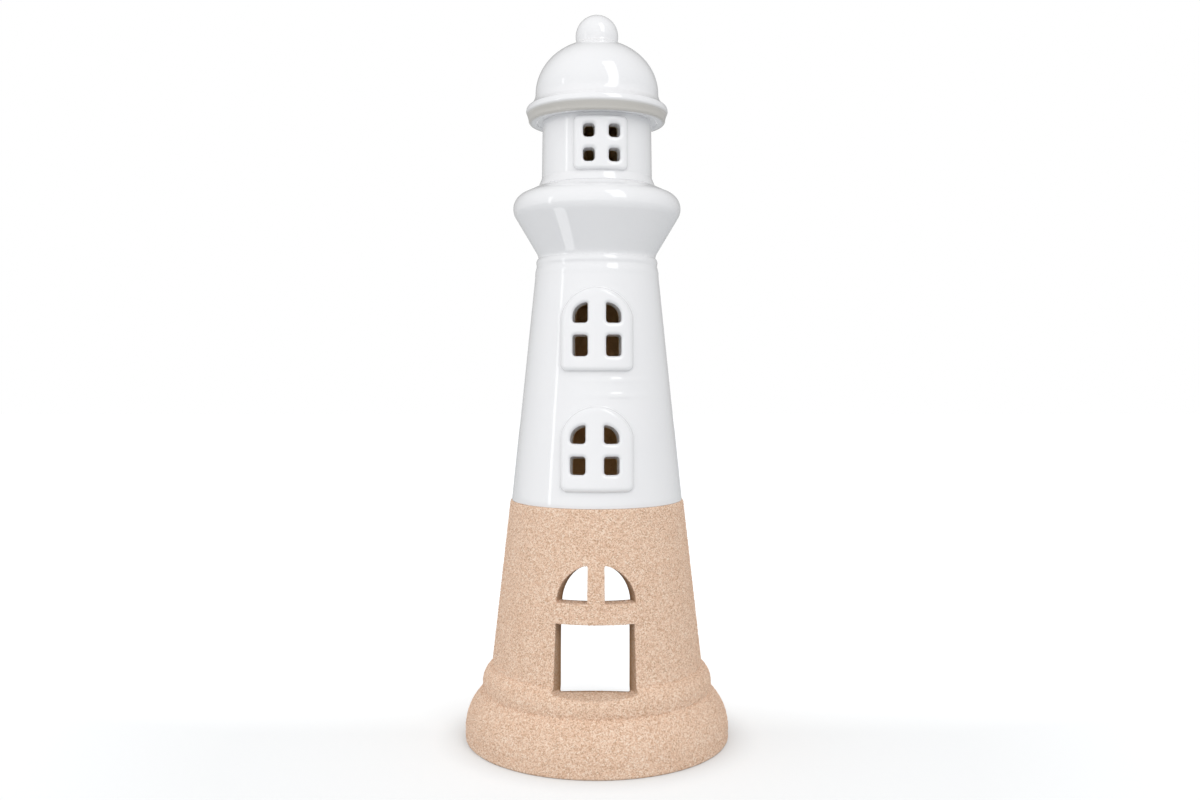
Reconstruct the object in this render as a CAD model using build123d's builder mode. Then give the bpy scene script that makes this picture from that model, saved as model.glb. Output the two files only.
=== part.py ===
from build123d import *
import math
import os

# Lighthouse tea light holder in slip-cast ceramic, in millimetres.
# The origin is the centre of the foot on the table, +Z is up and the doorway faces -Y.

# Heights of the stacked pieces, from the table up
plinth_height = 30.4
lower_tower_height = 67.7
upper_tower_height = 100.5
gallery_height = 29.4
lantern_height = 27.2

# Stepped plinth
base_radius = 54.4
base_edge_round = 0.8
lower_bead_height = 19.2
lower_bead_straight = 5.5
lower_bead_radius = 48.1
lower_bead_bulge = 1.5
upper_bead_radius = 47.0
upper_bead_gap = 1.0
upper_bead_bulge = 1.8
floor_thickness = 3.5
floor_corner = 3.0

# Tapered tower
tower_foot_radius = 43.5
seam_radius = 35.9
seam_ledge = 0.45
tower_head_radius = 25.05
tower_head_round = 1.0
lower_wall = 5.6
upper_wall = 5.0

# Gallery, the flared balcony under the lantern room
neck_radius = 24.1
gallery_radius = 35.0
gallery_bulge = 7.2
gallery_widest = 20.2
gallery_top_radius = 25.2
gallery_wall = 5.0

# Lantern room, turned a little off the tower's windows
lantern_radius = 22.7
lantern_foot_radius = 23.05
lantern_flange_radius = 24.6
lantern_flange_height = 3.8
lantern_wall = 4.4
lantern_turn = 4.0

# Lift-off roof
brim_radius = 29.6
brim_lip = 1.3
brim_shoulder = 1.0
brim_height = 6.4
flare_height = 5.4
flare_hollow = 0.8
dome_radius = 25.65
dome_rise = 22.4
dome_wall = 5.0
spigot_height = 4.0
spigot_wall = 3.0
spigot_clearance = 0.5

# Ball finial
ball_radius = 8.9
ball_seat_radius = 8.3
ball_tenon_radius = 3.0
ball_tenon_length = 3.5

# Tongue and groove where two cast pieces are luted together
tongue_height = 3.0
tongue_width = 2.2
joint_clearance = 0.15

# Doorway and fanlight, with jambs that point at the tower's axis
jamb_half_angle = 22.0
sill_drop = 2.5
door_height = 26.6
transom_height = 7.8
fanlight_rise = 14.9
mullion_width = 6.4
bar_proud = 0.35

# Loading arch at the back
rear_width = 47.0
rear_side_height = 42.0

# Arched tower windows
window_width = 28.8
window_side_height = 21.8
window_arch_radius = 14.8
window_corner = 2.4
window_proud = 2.0
window_edge_round = 1.5
pane_width = 6.6
pane_height = 8.4
pane_corner = 1.1
pane_arc_radius = 10.8
pane_draft = 6.0
pane_offset = 6.4
lower_pane_centre = 10.1
upper_pane_centre = 22.8
lower_window_base = 6.6
upper_window_base = 53.6

# Square lantern window
lantern_window_size = 21.8
lantern_window_base = 4.0
lantern_window_corner = 2.0
lantern_window_proud = 1.6
lantern_pane_size = 5.4
lantern_pane_corner = 1.2
lantern_pane_offset = 4.85
lantern_pane_draft = 8.0

# Tea light standing on the floor
tea_light_radius = 19.0
tea_light_height = 13.5
tea_light_wall = 0.5
tea_light_clearance = 0.4
wax_height = 9.5
wax_clearance = 0.1
wick_radius = 0.8
wick_height = 5.5
sustainer_radius = 6.0
sustainer_thickness = 0.6
sustainer_collar_radius = 1.6
sustainer_collar_height = 2.0

# Levels that follow from the heights
seam_level = plinth_height + lower_tower_height
neck_level = seam_level + upper_tower_height
deck_level = neck_level + gallery_height
roof_level = deck_level + lantern_height
sill_level = plinth_height - sill_drop
transom_level = sill_level + door_height
fanlight_level = transom_level + transom_height

# Bores that follow from the walls
foot_bore = tower_foot_radius - lower_wall
seam_bore = seam_radius - lower_wall
head_bore = tower_head_radius - upper_wall
lantern_bore = lantern_radius - lantern_wall
pan_radius = base_radius - lower_wall
pan_floor_radius = pan_radius - 2 * floor_corner
waist_bore = upper_bead_radius - lower_wall
groove_width = tongue_width + joint_clearance
groove_height = tongue_height + joint_clearance

# The tea light stands as far forward as the narrowest ring round it allows
tea_light_forward = min(pan_floor_radius, waist_bore) - tea_light_radius - tea_light_clearance

# Cutters reach this far from the axis, past every wall
reach = base_radius + brim_radius

# Handle length that makes a Bezier curve a quarter of an ellipse
quarter_arc = 4 / 3 * math.tan(math.pi / 8)


def tower_radius(level):
    """Outer radius of the white tower's cone at a level."""
    share = (level - seam_level) / upper_tower_height
    foot = seam_radius - seam_ledge
    return foot + share * (tower_head_radius - foot)


def tower_bore(level):
    """Inner radius of the white tower's cone at a level."""
    share = (level - seam_level) / upper_tower_height
    return seam_bore + share * (head_bore - seam_bore)


def sand_radius(level):
    """Outer radius of the sand tower's cone at a level."""
    share = (level - plinth_height) / lower_tower_height
    return tower_foot_radius + share * (seam_radius - tower_foot_radius)


def sand_bore(level):
    """Inner radius of the sand tower's cone at a level."""
    return sand_radius(level) - lower_wall


def touch_point(start, centre, radius, side):
    """Point where a line from start touches a circle, on its right (-1) or left (1)."""
    away_x = start[0] - centre[0]
    away_z = start[1] - centre[1]
    distance = math.hypot(away_x, away_z)
    turn = side * math.acos(radius / distance)
    aim = math.atan2(away_z, away_x) + turn
    return (centre[0] + radius * math.cos(aim), centre[1] + radius * math.sin(aim))


def doorway_outline(depth):
    """Doorway with its fanlight as it spreads at a distance from the axis."""
    half = depth * math.tan(math.radians(jamb_half_angle))
    with BuildSketch(Plane.XZ.offset(depth)) as outline:
        with BuildLine():
            Polyline((-half, fanlight_level), (-half, sill_level), (half, sill_level), (half, fanlight_level))
            Bezier(
                (half, fanlight_level),
                (half, fanlight_level + quarter_arc * fanlight_rise),
                (quarter_arc * half, fanlight_level + fanlight_rise),
                (0, fanlight_level + fanlight_rise),
            )
            Bezier(
                (0, fanlight_level + fanlight_rise),
                (-quarter_arc * half, fanlight_level + fanlight_rise),
                (-half, fanlight_level + quarter_arc * fanlight_rise),
                (-half, fanlight_level),
            )
        make_face()
    return outline.sketch


def loading_arch():
    """Arched loading opening at the back, drawn on the plane through the axis."""
    half = rear_width / 2
    spring = floor_thickness + rear_side_height
    with BuildSketch(Plane.XZ) as outline:
        with BuildLine():
            Polyline((-half, spring), (-half, floor_thickness), (half, floor_thickness), (half, spring))
            ThreePointArc((half, spring), (0, spring + half), (-half, spring))
        make_face()
    return outline.sketch


def window_outline(base):
    """Arched outline of a tower window, drawn on the plane through the axis."""
    half = window_width / 2
    rise = window_arch_radius - math.sqrt(window_arch_radius**2 - half**2)
    with BuildSketch(Plane.XZ) as outline:
        with BuildLine():
            Polyline((-half, window_side_height), (-half, 0), (half, 0), (half, window_side_height))
            ThreePointArc((half, window_side_height), (0, window_side_height + rise), (-half, window_side_height))
        make_face()
        fillet(outline.vertices(), window_corner)
    return outline.sketch.moved(Location((0, 0, base)))


def lantern_plane(depth):
    """Upright plane of the lantern window at a distance from the axis, facing out."""
    turn = math.radians(lantern_turn)
    out = (math.sin(turn), -math.cos(turn), 0)
    along = (math.cos(turn), math.sin(turn), 0)
    return Plane(origin=(out[0] * depth, out[1] * depth, deck_level + lantern_window_base), x_dir=along, z_dir=out)


def tea_light_plane(level):
    """Level plane centred on the tea light, measured up from its foot."""
    return Plane(origin=(0, -tea_light_forward, floor_thickness + level))


os.makedirs("parts", exist_ok=True)

doorway_near = doorway_outline(reach / 20)
doorway_far = doorway_outline(reach)
rear_arch = loading_arch()
lower_window_level = seam_level + lower_window_base
upper_window_level = seam_level + upper_window_base

# Plinth: two rounded steps round a shallow pan whose floor carries the tea light
upper_bead_foot = lower_bead_height + upper_bead_gap
with BuildPart() as plinth:
    with BuildSketch(Plane.XZ) as plinth_profile:
        with BuildLine():
            Polyline((0, floor_thickness), (0, 0), (base_radius - base_edge_round, 0))
            RadiusArc((base_radius - base_edge_round, 0), (base_radius, base_edge_round), -base_edge_round)
            Line((base_radius, base_edge_round), (base_radius, lower_bead_straight))
            SagittaArc((base_radius, lower_bead_straight), (lower_bead_radius, lower_bead_height), -lower_bead_bulge)
            Line((lower_bead_radius, lower_bead_height), (upper_bead_radius, upper_bead_foot))
            SagittaArc((upper_bead_radius, upper_bead_foot), (tower_foot_radius, plinth_height), -upper_bead_bulge)
            Polyline(
                (tower_foot_radius, plinth_height),
                (foot_bore + tongue_width, plinth_height),
                (foot_bore + tongue_width, plinth_height + tongue_height),
                (foot_bore, plinth_height + tongue_height),
                (foot_bore, plinth_height),
                (waist_bore, upper_bead_foot),
                (pan_radius - floor_corner, floor_thickness + floor_corner),
                (pan_floor_radius, floor_thickness),
                (0, floor_thickness),
            )
        make_face()
    revolve(axis=Axis.Z)
    loft([doorway_near, doorway_far], ruled=True, mode=Mode.SUBTRACT)
    extrude(rear_arch, amount=-reach, mode=Mode.SUBTRACT)
plinth.part.label = "plinth"
export_step(plinth.part, "parts/plinth.step")

# Lower tower: sand-coated cone with the doorway in front and the loading arch behind
with BuildPart() as lower_tower:
    with BuildSketch(Plane.XZ) as lower_profile:
        with BuildLine():
            Polyline(
                (tower_foot_radius, plinth_height),
                (seam_radius, seam_level),
                (seam_bore + tongue_width, seam_level),
                (seam_bore + tongue_width, seam_level + tongue_height),
                (seam_bore, seam_level + tongue_height),
                (seam_bore, seam_level),
                (sand_bore(plinth_height + groove_height), plinth_height + groove_height),
                (foot_bore + groove_width, plinth_height + groove_height),
                (foot_bore + groove_width, plinth_height),
                close=True,
            )
        make_face()
    revolve(axis=Axis.Z)
    loft([doorway_near, doorway_far], ruled=True, mode=Mode.SUBTRACT)
    extrude(rear_arch, amount=-reach, mode=Mode.SUBTRACT)
lower_tower.part.label = "lower_tower"
export_step(lower_tower.part, "parts/lower_tower.step")

# Transom: clay bar across the doorway, a hair proud of the wall
with BuildPart() as door_transom:
    with BuildSketch(Plane.XZ) as transom_profile:
        with BuildLine():
            Polyline(
                (sand_bore(transom_level), transom_level),
                (sand_radius(transom_level) + bar_proud, transom_level),
                (sand_radius(fanlight_level) + bar_proud, fanlight_level),
                (sand_bore(fanlight_level), fanlight_level),
                close=True,
            )
        make_face()
    revolve(axis=Axis.Z)
    loft([doorway_near, doorway_far], ruled=True, mode=Mode.INTERSECT)
door_transom.part.label = "door_transom"
export_step(door_transom.part, "parts/door_transom.step")

# Mullion: upright clay bar from the transom to the crown of the fanlight
crown_level = fanlight_level + fanlight_rise
with BuildPart() as fanlight_mullion:
    with BuildSketch(Plane.XZ) as mullion_profile:
        with BuildLine():
            Polyline(
                (sand_bore(fanlight_level), fanlight_level),
                (sand_radius(fanlight_level) + bar_proud, fanlight_level),
                (sand_radius(crown_level) + bar_proud, crown_level),
                (sand_bore(crown_level), crown_level),
                close=True,
            )
        make_face()
    revolve(axis=Axis.Z)
    with BuildSketch(Plane.XZ):
        with Locations((0, (fanlight_level + crown_level) / 2)):
            Rectangle(mullion_width, crown_level - fanlight_level)
    extrude(amount=reach, mode=Mode.INTERSECT)
    loft([doorway_near, doorway_far], ruled=True, mode=Mode.INTERSECT)
fanlight_mullion.part.label = "fanlight_mullion"
export_step(fanlight_mullion.part, "parts/fanlight_mullion.step")

# Upper tower: white-glazed cone with two arched holes for the window frames
lower_outline = window_outline(lower_window_level)
upper_outline = window_outline(upper_window_level)
with BuildPart() as upper_tower:
    with BuildSketch(Plane.XZ) as upper_profile:
        with BuildLine():
            Polyline(
                (tower_radius(seam_level), seam_level),
                (tower_head_radius, neck_level),
                (head_bore + tongue_width, neck_level),
                (head_bore + tongue_width, neck_level + tongue_height),
                (head_bore, neck_level + tongue_height),
                (head_bore, neck_level),
                (tower_bore(seam_level + groove_height), seam_level + groove_height),
                (seam_bore + groove_width, seam_level + groove_height),
                (seam_bore + groove_width, seam_level),
                close=True,
            )
        make_face()
        fillet(upper_profile.vertices().sort_by_distance((tower_head_radius, neck_level))[0], tower_head_round)
    revolve(axis=Axis.Z)
    extrude(lower_outline, amount=reach, mode=Mode.SUBTRACT)
    extrude(upper_outline, amount=reach, mode=Mode.SUBTRACT)
upper_tower.part.label = "upper_tower"
export_step(upper_tower.part, "parts/upper_tower.step")

# Panes are cut from a plane just in front of each frame and narrow inwards
pane_plane_gap = 0.5
transom_centre = (lower_pane_centre + upper_pane_centre) / 2
window_top = window_side_height + window_arch_radius - math.sqrt(window_arch_radius**2 - (window_width / 2) ** 2)


def pane_outlines(base):
    """The four panes of a tower window on the plane in front of its frame, facing in."""
    front = tower_radius(base) + window_proud + pane_plane_gap
    plane = Plane(origin=(0, -front, base), x_dir=(-1, 0, 0), z_dir=(0, 1, 0))
    with BuildSketch(plane) as outlines:
        with Locations((-pane_offset, upper_pane_centre), (pane_offset, upper_pane_centre)):
            Rectangle(pane_width, pane_height)
        with Locations((0, transom_centre)):
            Circle(pane_arc_radius, mode=Mode.INTERSECT)
        with Locations((-pane_offset, lower_pane_centre), (pane_offset, lower_pane_centre)):
            Rectangle(pane_width, pane_height)
        fillet(outlines.vertices(), pane_corner)
    return outlines.sketch


def pane_depth(base):
    """How far a pane's cut runs in, through the frame and the curved wall behind it."""
    front = tower_radius(base) + window_proud + pane_plane_gap
    edge = pane_offset + pane_width / 2
    return front - math.sqrt(tower_bore(base + window_top) ** 2 - edge**2)


# Lower window frame: arched plug through the tower wall, standing proud outside
with BuildPart() as lower_window_frame:
    with BuildSketch(Plane.XZ) as lower_frame_profile:
        with BuildLine():
            Polyline(
                (tower_bore(seam_level), seam_level),
                (tower_radius(seam_level) + window_proud, seam_level),
                (tower_radius(neck_level) + window_proud, neck_level),
                (tower_bore(neck_level), neck_level),
                close=True,
            )
        make_face()
    revolve(axis=Axis.Z)
    extrude(lower_outline, amount=reach, mode=Mode.INTERSECT)
    lower_rim = lower_window_frame.faces().sort_by(Axis.Y)[0].outer_wire().edges()
    fillet(lower_rim, window_edge_round)
    extrude(
        pane_outlines(lower_window_level),
        amount=pane_depth(lower_window_level),
        taper=pane_draft,
        mode=Mode.SUBTRACT,
    )
lower_window_frame.part.label = "lower_window_frame"
export_step(lower_window_frame.part, "parts/lower_window_frame.step")

# Upper window frame: the same window where the tower is slimmer
with BuildPart() as upper_window_frame:
    with BuildSketch(Plane.XZ) as upper_frame_profile:
        with BuildLine():
            Polyline(
                (tower_bore(seam_level), seam_level),
                (tower_radius(seam_level) + window_proud, seam_level),
                (tower_radius(neck_level) + window_proud, neck_level),
                (tower_bore(neck_level), neck_level),
                close=True,
            )
        make_face()
    revolve(axis=Axis.Z)
    extrude(upper_outline, amount=reach, mode=Mode.INTERSECT)
    upper_rim = upper_window_frame.faces().sort_by(Axis.Y)[0].outer_wire().edges()
    fillet(upper_rim, window_edge_round)
    extrude(
        pane_outlines(upper_window_level),
        amount=pane_depth(upper_window_level),
        taper=pane_draft,
        mode=Mode.SUBTRACT,
    )
upper_window_frame.part.label = "upper_window_frame"
export_step(upper_window_frame.part, "parts/upper_window_frame.step")

# Gallery: hollow flared ring with a rounded rim
rim_centre = (gallery_radius - gallery_bulge, neck_level + gallery_widest)
rim_low = touch_point((neck_radius, neck_level), rim_centre, gallery_bulge, 1)
rim_high = touch_point((gallery_top_radius, deck_level), rim_centre, gallery_bulge, -1)
with BuildPart() as gallery:
    with BuildSketch(Plane.XZ) as gallery_profile:
        with BuildLine():
            Polyline(
                rim_high,
                (gallery_top_radius, deck_level),
                (lantern_bore + tongue_width, deck_level),
                (lantern_bore + tongue_width, deck_level + tongue_height),
                (lantern_bore, deck_level + tongue_height),
                (lantern_bore, deck_level - gallery_wall),
                (gallery_radius - gallery_wall, neck_level + gallery_widest),
                (head_bore, neck_level + groove_height),
                (head_bore + groove_width, neck_level + groove_height),
                (head_bore + groove_width, neck_level),
                (neck_radius, neck_level),
                rim_low,
            )
            ThreePointArc(rim_low, (gallery_radius, neck_level + gallery_widest), rim_high)
        make_face()
    revolve(axis=Axis.Z)
gallery.part.label = "gallery"
export_step(gallery.part, "parts/gallery.step")

# Lantern room: short drum on a sloping flange, with one square hole for its window
lantern_window_half = lantern_window_size / 2
with BuildSketch(lantern_plane(0)) as lantern_outline:
    with Locations((0, lantern_window_half)):
        RectangleRounded(lantern_window_size, lantern_window_size, lantern_window_corner)
with BuildPart() as lantern_room:
    with BuildSketch(Plane.XZ) as lantern_profile:
        with BuildLine():
            Polyline(
                (lantern_bore + groove_width, deck_level),
                (lantern_flange_radius, deck_level),
                (lantern_foot_radius, deck_level + lantern_flange_height),
                (lantern_radius, roof_level),
                (lantern_bore, roof_level),
                (lantern_bore, deck_level + groove_height),
                (lantern_bore + groove_width, deck_level + groove_height),
                close=True,
            )
        make_face()
    revolve(axis=Axis.Z)
    extrude(lantern_outline.sketch, amount=reach, mode=Mode.SUBTRACT)
lantern_room.part.label = "lantern_room"
export_step(lantern_room.part, "parts/lantern_room.step")

# Lantern window frame: square plug with four small panes
lantern_front = lantern_flange_radius + lantern_window_proud + pane_plane_gap
lantern_edge = lantern_pane_offset + lantern_pane_size / 2
lantern_pane_depth = lantern_front - math.sqrt(lantern_bore**2 - lantern_edge**2)
with BuildPart() as lantern_window_frame:
    with BuildSketch(Plane.XZ) as lantern_frame_profile:
        with BuildLine():
            Polyline(
                (lantern_bore, deck_level + groove_height),
                (lantern_foot_radius + lantern_window_proud, deck_level + lantern_flange_height),
                (lantern_radius + lantern_window_proud, roof_level),
                (lantern_bore, roof_level),
                close=True,
            )
        make_face()
    revolve(axis=Axis.Z)
    extrude(lantern_outline.sketch, amount=reach, mode=Mode.INTERSECT)
    lantern_rim = lantern_window_frame.faces().sort_by(Axis.Y)[0].outer_wire().edges()
    fillet(lantern_rim, window_edge_round)
    with BuildSketch(lantern_plane(lantern_front)) as lantern_panes:
        with Locations((0, lantern_window_half)):
            with GridLocations(2 * lantern_pane_offset, 2 * lantern_pane_offset, 2, 2):
                RectangleRounded(lantern_pane_size, lantern_pane_size, lantern_pane_corner)
    extrude(amount=-lantern_pane_depth, taper=lantern_pane_draft, mode=Mode.SUBTRACT)
lantern_window_frame.part.label = "lantern_window_frame"
export_step(lantern_window_frame.part, "parts/lantern_window_frame.step")

# Roof: dome with a rounded brim, a locating spigot below and a socket for the finial
spigot_radius = lantern_bore - spigot_clearance
spigot_bore = spigot_radius - spigot_wall
flare_level = roof_level + brim_height
dome_level = flare_level + flare_height
dome_bore = dome_radius - dome_wall
dome_clear = dome_rise - dome_wall
seat_level = dome_level + dome_rise * math.sqrt(1 - (ball_seat_radius / dome_radius) ** 2)
with BuildPart() as roof_lid:
    with BuildSketch(Plane.XZ) as roof_profile:
        with BuildLine():
            Polyline(
                (0, dome_level + dome_clear),
                (0, dome_level + dome_rise),
            )
            Bezier(
                (0, dome_level + dome_rise),
                (quarter_arc * dome_radius, dome_level + dome_rise),
                (dome_radius, dome_level + quarter_arc * dome_rise),
                (dome_radius, dome_level),
            )
            SagittaArc((dome_radius, dome_level), (brim_radius - brim_shoulder, flare_level), -flare_hollow)
            ThreePointArc(
                (brim_radius - brim_shoulder, flare_level),
                (brim_radius, roof_level + brim_height / 2),
                (brim_radius - brim_lip, roof_level),
            )
            Polyline(
                (brim_radius - brim_lip, roof_level),
                (spigot_radius, roof_level),
                (spigot_radius, roof_level - spigot_height),
                (spigot_bore, roof_level - spigot_height),
                (spigot_bore, roof_level),
                (dome_bore, dome_level),
            )
            Bezier(
                (dome_bore, dome_level),
                (dome_bore, dome_level + quarter_arc * dome_clear),
                (quarter_arc * dome_bore, dome_level + dome_clear),
                (0, dome_level + dome_clear),
            )
        make_face()
    revolve(axis=Axis.Z)
    with BuildSketch(Plane.XY.offset(seat_level)):
        Circle(dome_radius)
    extrude(amount=dome_rise, mode=Mode.SUBTRACT)
    with BuildSketch(Plane.XY.offset(dome_level)):
        Circle(ball_tenon_radius + joint_clearance)
    extrude(amount=dome_rise, mode=Mode.SUBTRACT)
roof_lid.part.label = "roof_lid"
export_step(roof_lid.part, "parts/roof_lid.step")

# Ball finial: sphere cut flat on its seat, with a tenon into the dome
ball_level = seat_level + math.sqrt(ball_radius**2 - ball_seat_radius**2)
with BuildPart() as ball_finial:
    with Locations((0, 0, ball_level)):
        Sphere(ball_radius)
    split(bisect_by=Plane.XY.offset(seat_level), keep=Keep.TOP)
    with BuildSketch(Plane.XY.offset(seat_level)):
        Circle(ball_tenon_radius)
    extrude(amount=-ball_tenon_length)
ball_finial.part.label = "ball_finial"
export_step(ball_finial.part, "parts/ball_finial.step")

# Tea light cup: thin round tub
with BuildPart() as tea_light_cup:
    with BuildSketch(tea_light_plane(0)):
        Circle(tea_light_radius)
    extrude(amount=tea_light_height)
    with BuildSketch(tea_light_plane(tea_light_wall)):
        Circle(tea_light_radius - tea_light_wall)
    extrude(amount=tea_light_height, mode=Mode.SUBTRACT)
tea_light_cup.part.label = "tea_light_cup"
export_step(tea_light_cup.part, "parts/tea_light_cup.step")

# Wax, cast round the wick and its foot
wax_top = tea_light_wall + wax_height
with BuildPart() as tea_light_wax:
    with BuildSketch(tea_light_plane(tea_light_wall)):
        Circle(tea_light_radius - tea_light_wall - wax_clearance)
    extrude(amount=wax_height)
    with BuildSketch(tea_light_plane(tea_light_wall)):
        Circle(sustainer_radius + wax_clearance)
    extrude(amount=sustainer_thickness + wax_clearance, mode=Mode.SUBTRACT)
    with BuildSketch(tea_light_plane(tea_light_wall)):
        Circle(sustainer_collar_radius + wax_clearance)
    extrude(amount=sustainer_thickness + sustainer_collar_height + wax_clearance, mode=Mode.SUBTRACT)
    with BuildSketch(tea_light_plane(tea_light_wall)):
        Circle(wick_radius + wax_clearance)
    extrude(amount=wax_height, mode=Mode.SUBTRACT)
tea_light_wax.part.label = "tea_light_wax"
export_step(tea_light_wax.part, "parts/tea_light_wax.step")

# Wick sustainer: tin disc with a crimped collar
with BuildPart() as wick_sustainer:
    with BuildSketch(tea_light_plane(tea_light_wall)):
        Circle(sustainer_radius)
    extrude(amount=sustainer_thickness)
    with BuildSketch(tea_light_plane(tea_light_wall)):
        Circle(sustainer_collar_radius)
    extrude(amount=sustainer_thickness + sustainer_collar_height)
    with BuildSketch(tea_light_plane(tea_light_wall)):
        Circle(wick_radius)
    extrude(amount=sustainer_thickness + sustainer_collar_height, mode=Mode.SUBTRACT)
wick_sustainer.part.label = "wick_sustainer"
export_step(wick_sustainer.part, "parts/wick_sustainer.step")

# Wick, standing clear of the wax
with BuildPart() as wick:
    with BuildSketch(tea_light_plane(tea_light_wall)):
        Circle(wick_radius)
    extrude(amount=wax_height + wick_height)
wick.part.label = "wick"
export_step(wick.part, "parts/wick.step")
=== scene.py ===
"""Looks of a ceramic lighthouse tea light holder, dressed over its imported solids.

Sizes are in millimetres, in the part's own frame: the foot stands on the origin, the doorway faces -Y
and Z is up. Angles round the tower are measured from the front towards +X. Each point of a piece
carries an inside mark, from 0 on its glazed or sanded skin to 1 on bare clay.
"""

import logging
import math
from collections.abc import Callable, Sequence
from dataclasses import dataclass, field
from enum import Enum

import bmesh
import bpy
import numpy as np
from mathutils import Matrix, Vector
from mathutils.geometry import delaunay_2d_cdt


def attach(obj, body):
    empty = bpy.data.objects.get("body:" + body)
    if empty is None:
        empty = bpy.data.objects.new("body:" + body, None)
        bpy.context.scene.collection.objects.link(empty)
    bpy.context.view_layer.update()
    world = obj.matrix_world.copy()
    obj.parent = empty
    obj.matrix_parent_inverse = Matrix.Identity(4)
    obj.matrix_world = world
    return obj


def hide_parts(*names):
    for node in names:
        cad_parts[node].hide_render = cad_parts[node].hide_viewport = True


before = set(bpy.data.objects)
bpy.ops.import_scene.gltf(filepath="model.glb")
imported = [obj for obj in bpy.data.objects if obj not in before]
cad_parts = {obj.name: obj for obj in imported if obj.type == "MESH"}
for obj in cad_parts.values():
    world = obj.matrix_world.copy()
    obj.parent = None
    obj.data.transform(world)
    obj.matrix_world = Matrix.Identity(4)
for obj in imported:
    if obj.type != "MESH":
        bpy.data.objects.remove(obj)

log = logging.getLogger("lighthouse")

Pair = tuple[float, float]
Triple = tuple[float, float, float]
Colour = tuple[float, float, float, float]
Loop = tuple[Sequence[Pair], Sequence[int]]

MM = 0.001
INSIDE = "inside"
TONE = "tone"
SHARP_ANGLE = math.radians(42)
WELD = 0.002 * MM
SLIVER = 0.0005 * MM
CUT_SLACK = 1e-6 * MM
FLAT_SLACK = 1e-7
NOISE_ROUGHNESS = 0.55
WINDOW_STEP = 0.9
WINDOW_EDGE = 0.1
SKIN_STEP = 2.0
INNER_STEP = 3.0
WHITE: Colour = (1, 1, 1, 1)
BLACK: Colour = (0, 0, 0, 1)


class Body(Enum):
    """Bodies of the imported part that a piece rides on."""

    TOWER = "tower"
    ROOF = "roof"
    TEA_LIGHT = "tea_light"


class Slot(Enum):
    """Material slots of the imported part."""

    GLAZE = "white_glaze"
    SAND = "sand_coat"
    CUP = "cup_aluminium"
    WAX = "wax"
    WICK = "wick_cotton"


class Jambs(Enum):
    """How the sides of an opening run through a round wall."""

    RADIAL = "pointing at the axis"
    PARALLEL = "side by side"


class Side(Enum):
    """Side of the tower that an opening is in, as its angle in degrees."""

    FRONT = 0.0
    BACK = 180.0


# Drawing of flat outlines and sections


def clamped(value: float) -> float:
    """Keep a value between 0 and 1."""
    return max(0.0, min(1.0, value))


def bared(share: float) -> float:
    """Give the inside mark at a share of a wall's depth, whose last fifth turns into bare clay."""
    return 5 * share - 4


def bell(value: float, middle: float, spread: float) -> float:
    """Give a bell curve that is 1 in its middle."""
    return math.exp(-(((value - middle) / spread) ** 2) / 2)


def quarter(first: Pair, corner: Pair, last: Pair, steps: int) -> list[Pair]:
    """Draw a quarter of an ellipse that rounds a corner.

    Args:
        first: Where the curve starts.
        corner: The corner.
        last: Where it ends.
        steps: Number of spans.

    Returns:
        The points, both ends included.
    """
    centre = (first[0] + last[0] - corner[0], first[1] + last[1] - corner[1])
    points = []
    for step in range(steps + 1):
        turn = math.pi / 2 * step / steps
        across = (first[0] - centre[0]) * math.cos(turn) + (last[0] - centre[0]) * math.sin(turn)
        up = (first[1] - centre[1]) * math.cos(turn) + (last[1] - centre[1]) * math.sin(turn)
        points.append((centre[0] + across, centre[1] + up))
    return points


def arc(centre: Pair, radius: float, start: float, end: float, steps: int) -> list[Pair]:
    """Draw a circular arc.

    Args:
        centre: Its centre.
        radius: Its radius.
        start: First angle, in degrees.
        end: Last angle, in degrees.
        steps: Number of spans.

    Returns:
        The points, both ends included.
    """
    points = []
    for step in range(steps + 1):
        angle = math.radians(start + (end - start) * step / steps)
        points.append((centre[0] + radius * math.cos(angle), centre[1] + radius * math.sin(angle)))
    return points


def swept(middle: Pair, reach: Pair, start: float, end: float, steps: int) -> list[Pair]:
    """Draw an arc of an ellipse about a middle, with two half sizes, as arc does."""
    circle = arc((0.0, 0.0), 1.0, start, end, steps)
    return [(middle[0] + reach[0] * x, middle[1] + reach[1] * y) for x, y in circle]


def sharp(points: Sequence[Pair]) -> list[Triple]:
    """Give points as corners that are not rounded."""
    return [(x, y, 0.0) for x, y in points]


def mirrored(points: Sequence[Pair]) -> list[Pair]:
    """Mirror an anticlockwise outline about the upright through 0."""
    return [(-x, y) for x, y in reversed(points)]


def curved(first: Pair, handle: Pair, last: Pair, steps: int) -> list[Pair]:
    """Draw a soft curve.

    Args:
        first: Where it starts.
        handle: Point that pulls on it.
        last: Where it ends.
        steps: Number of spans.

    Returns:
        The points, both ends included.
    """
    points = []
    for step in range(steps + 1):
        share = step / steps
        weights = ((1 - share) ** 2, 2 * share * (1 - share), share**2)
        across = first[0] * weights[0] + handle[0] * weights[1] + last[0] * weights[2]
        up = first[1] * weights[0] + handle[1] * weights[1] + last[1] * weights[2]
        points.append((across, up))
    return points


def bowed(first: Pair, last: Pair, bulge: float, steps: int) -> list[Pair]:
    """Draw a shallow bow over a straight run.

    Args:
        first: Start of the run.
        last: End of the run.
        bulge: Height of the bow, to the right of the way from first to last.
        steps: Number of spans.

    Returns:
        The points, both ends included.
    """
    run = (last[0] - first[0], last[1] - first[1])
    length = math.hypot(run[0], run[1])
    points = []
    for step in range(steps + 1):
        share = step / steps
        lift = 4 * bulge * share * (1 - share) / length
        points.append((first[0] + run[0] * share + run[1] * lift, first[1] + run[1] * share - run[0] * lift))
    return points


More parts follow.
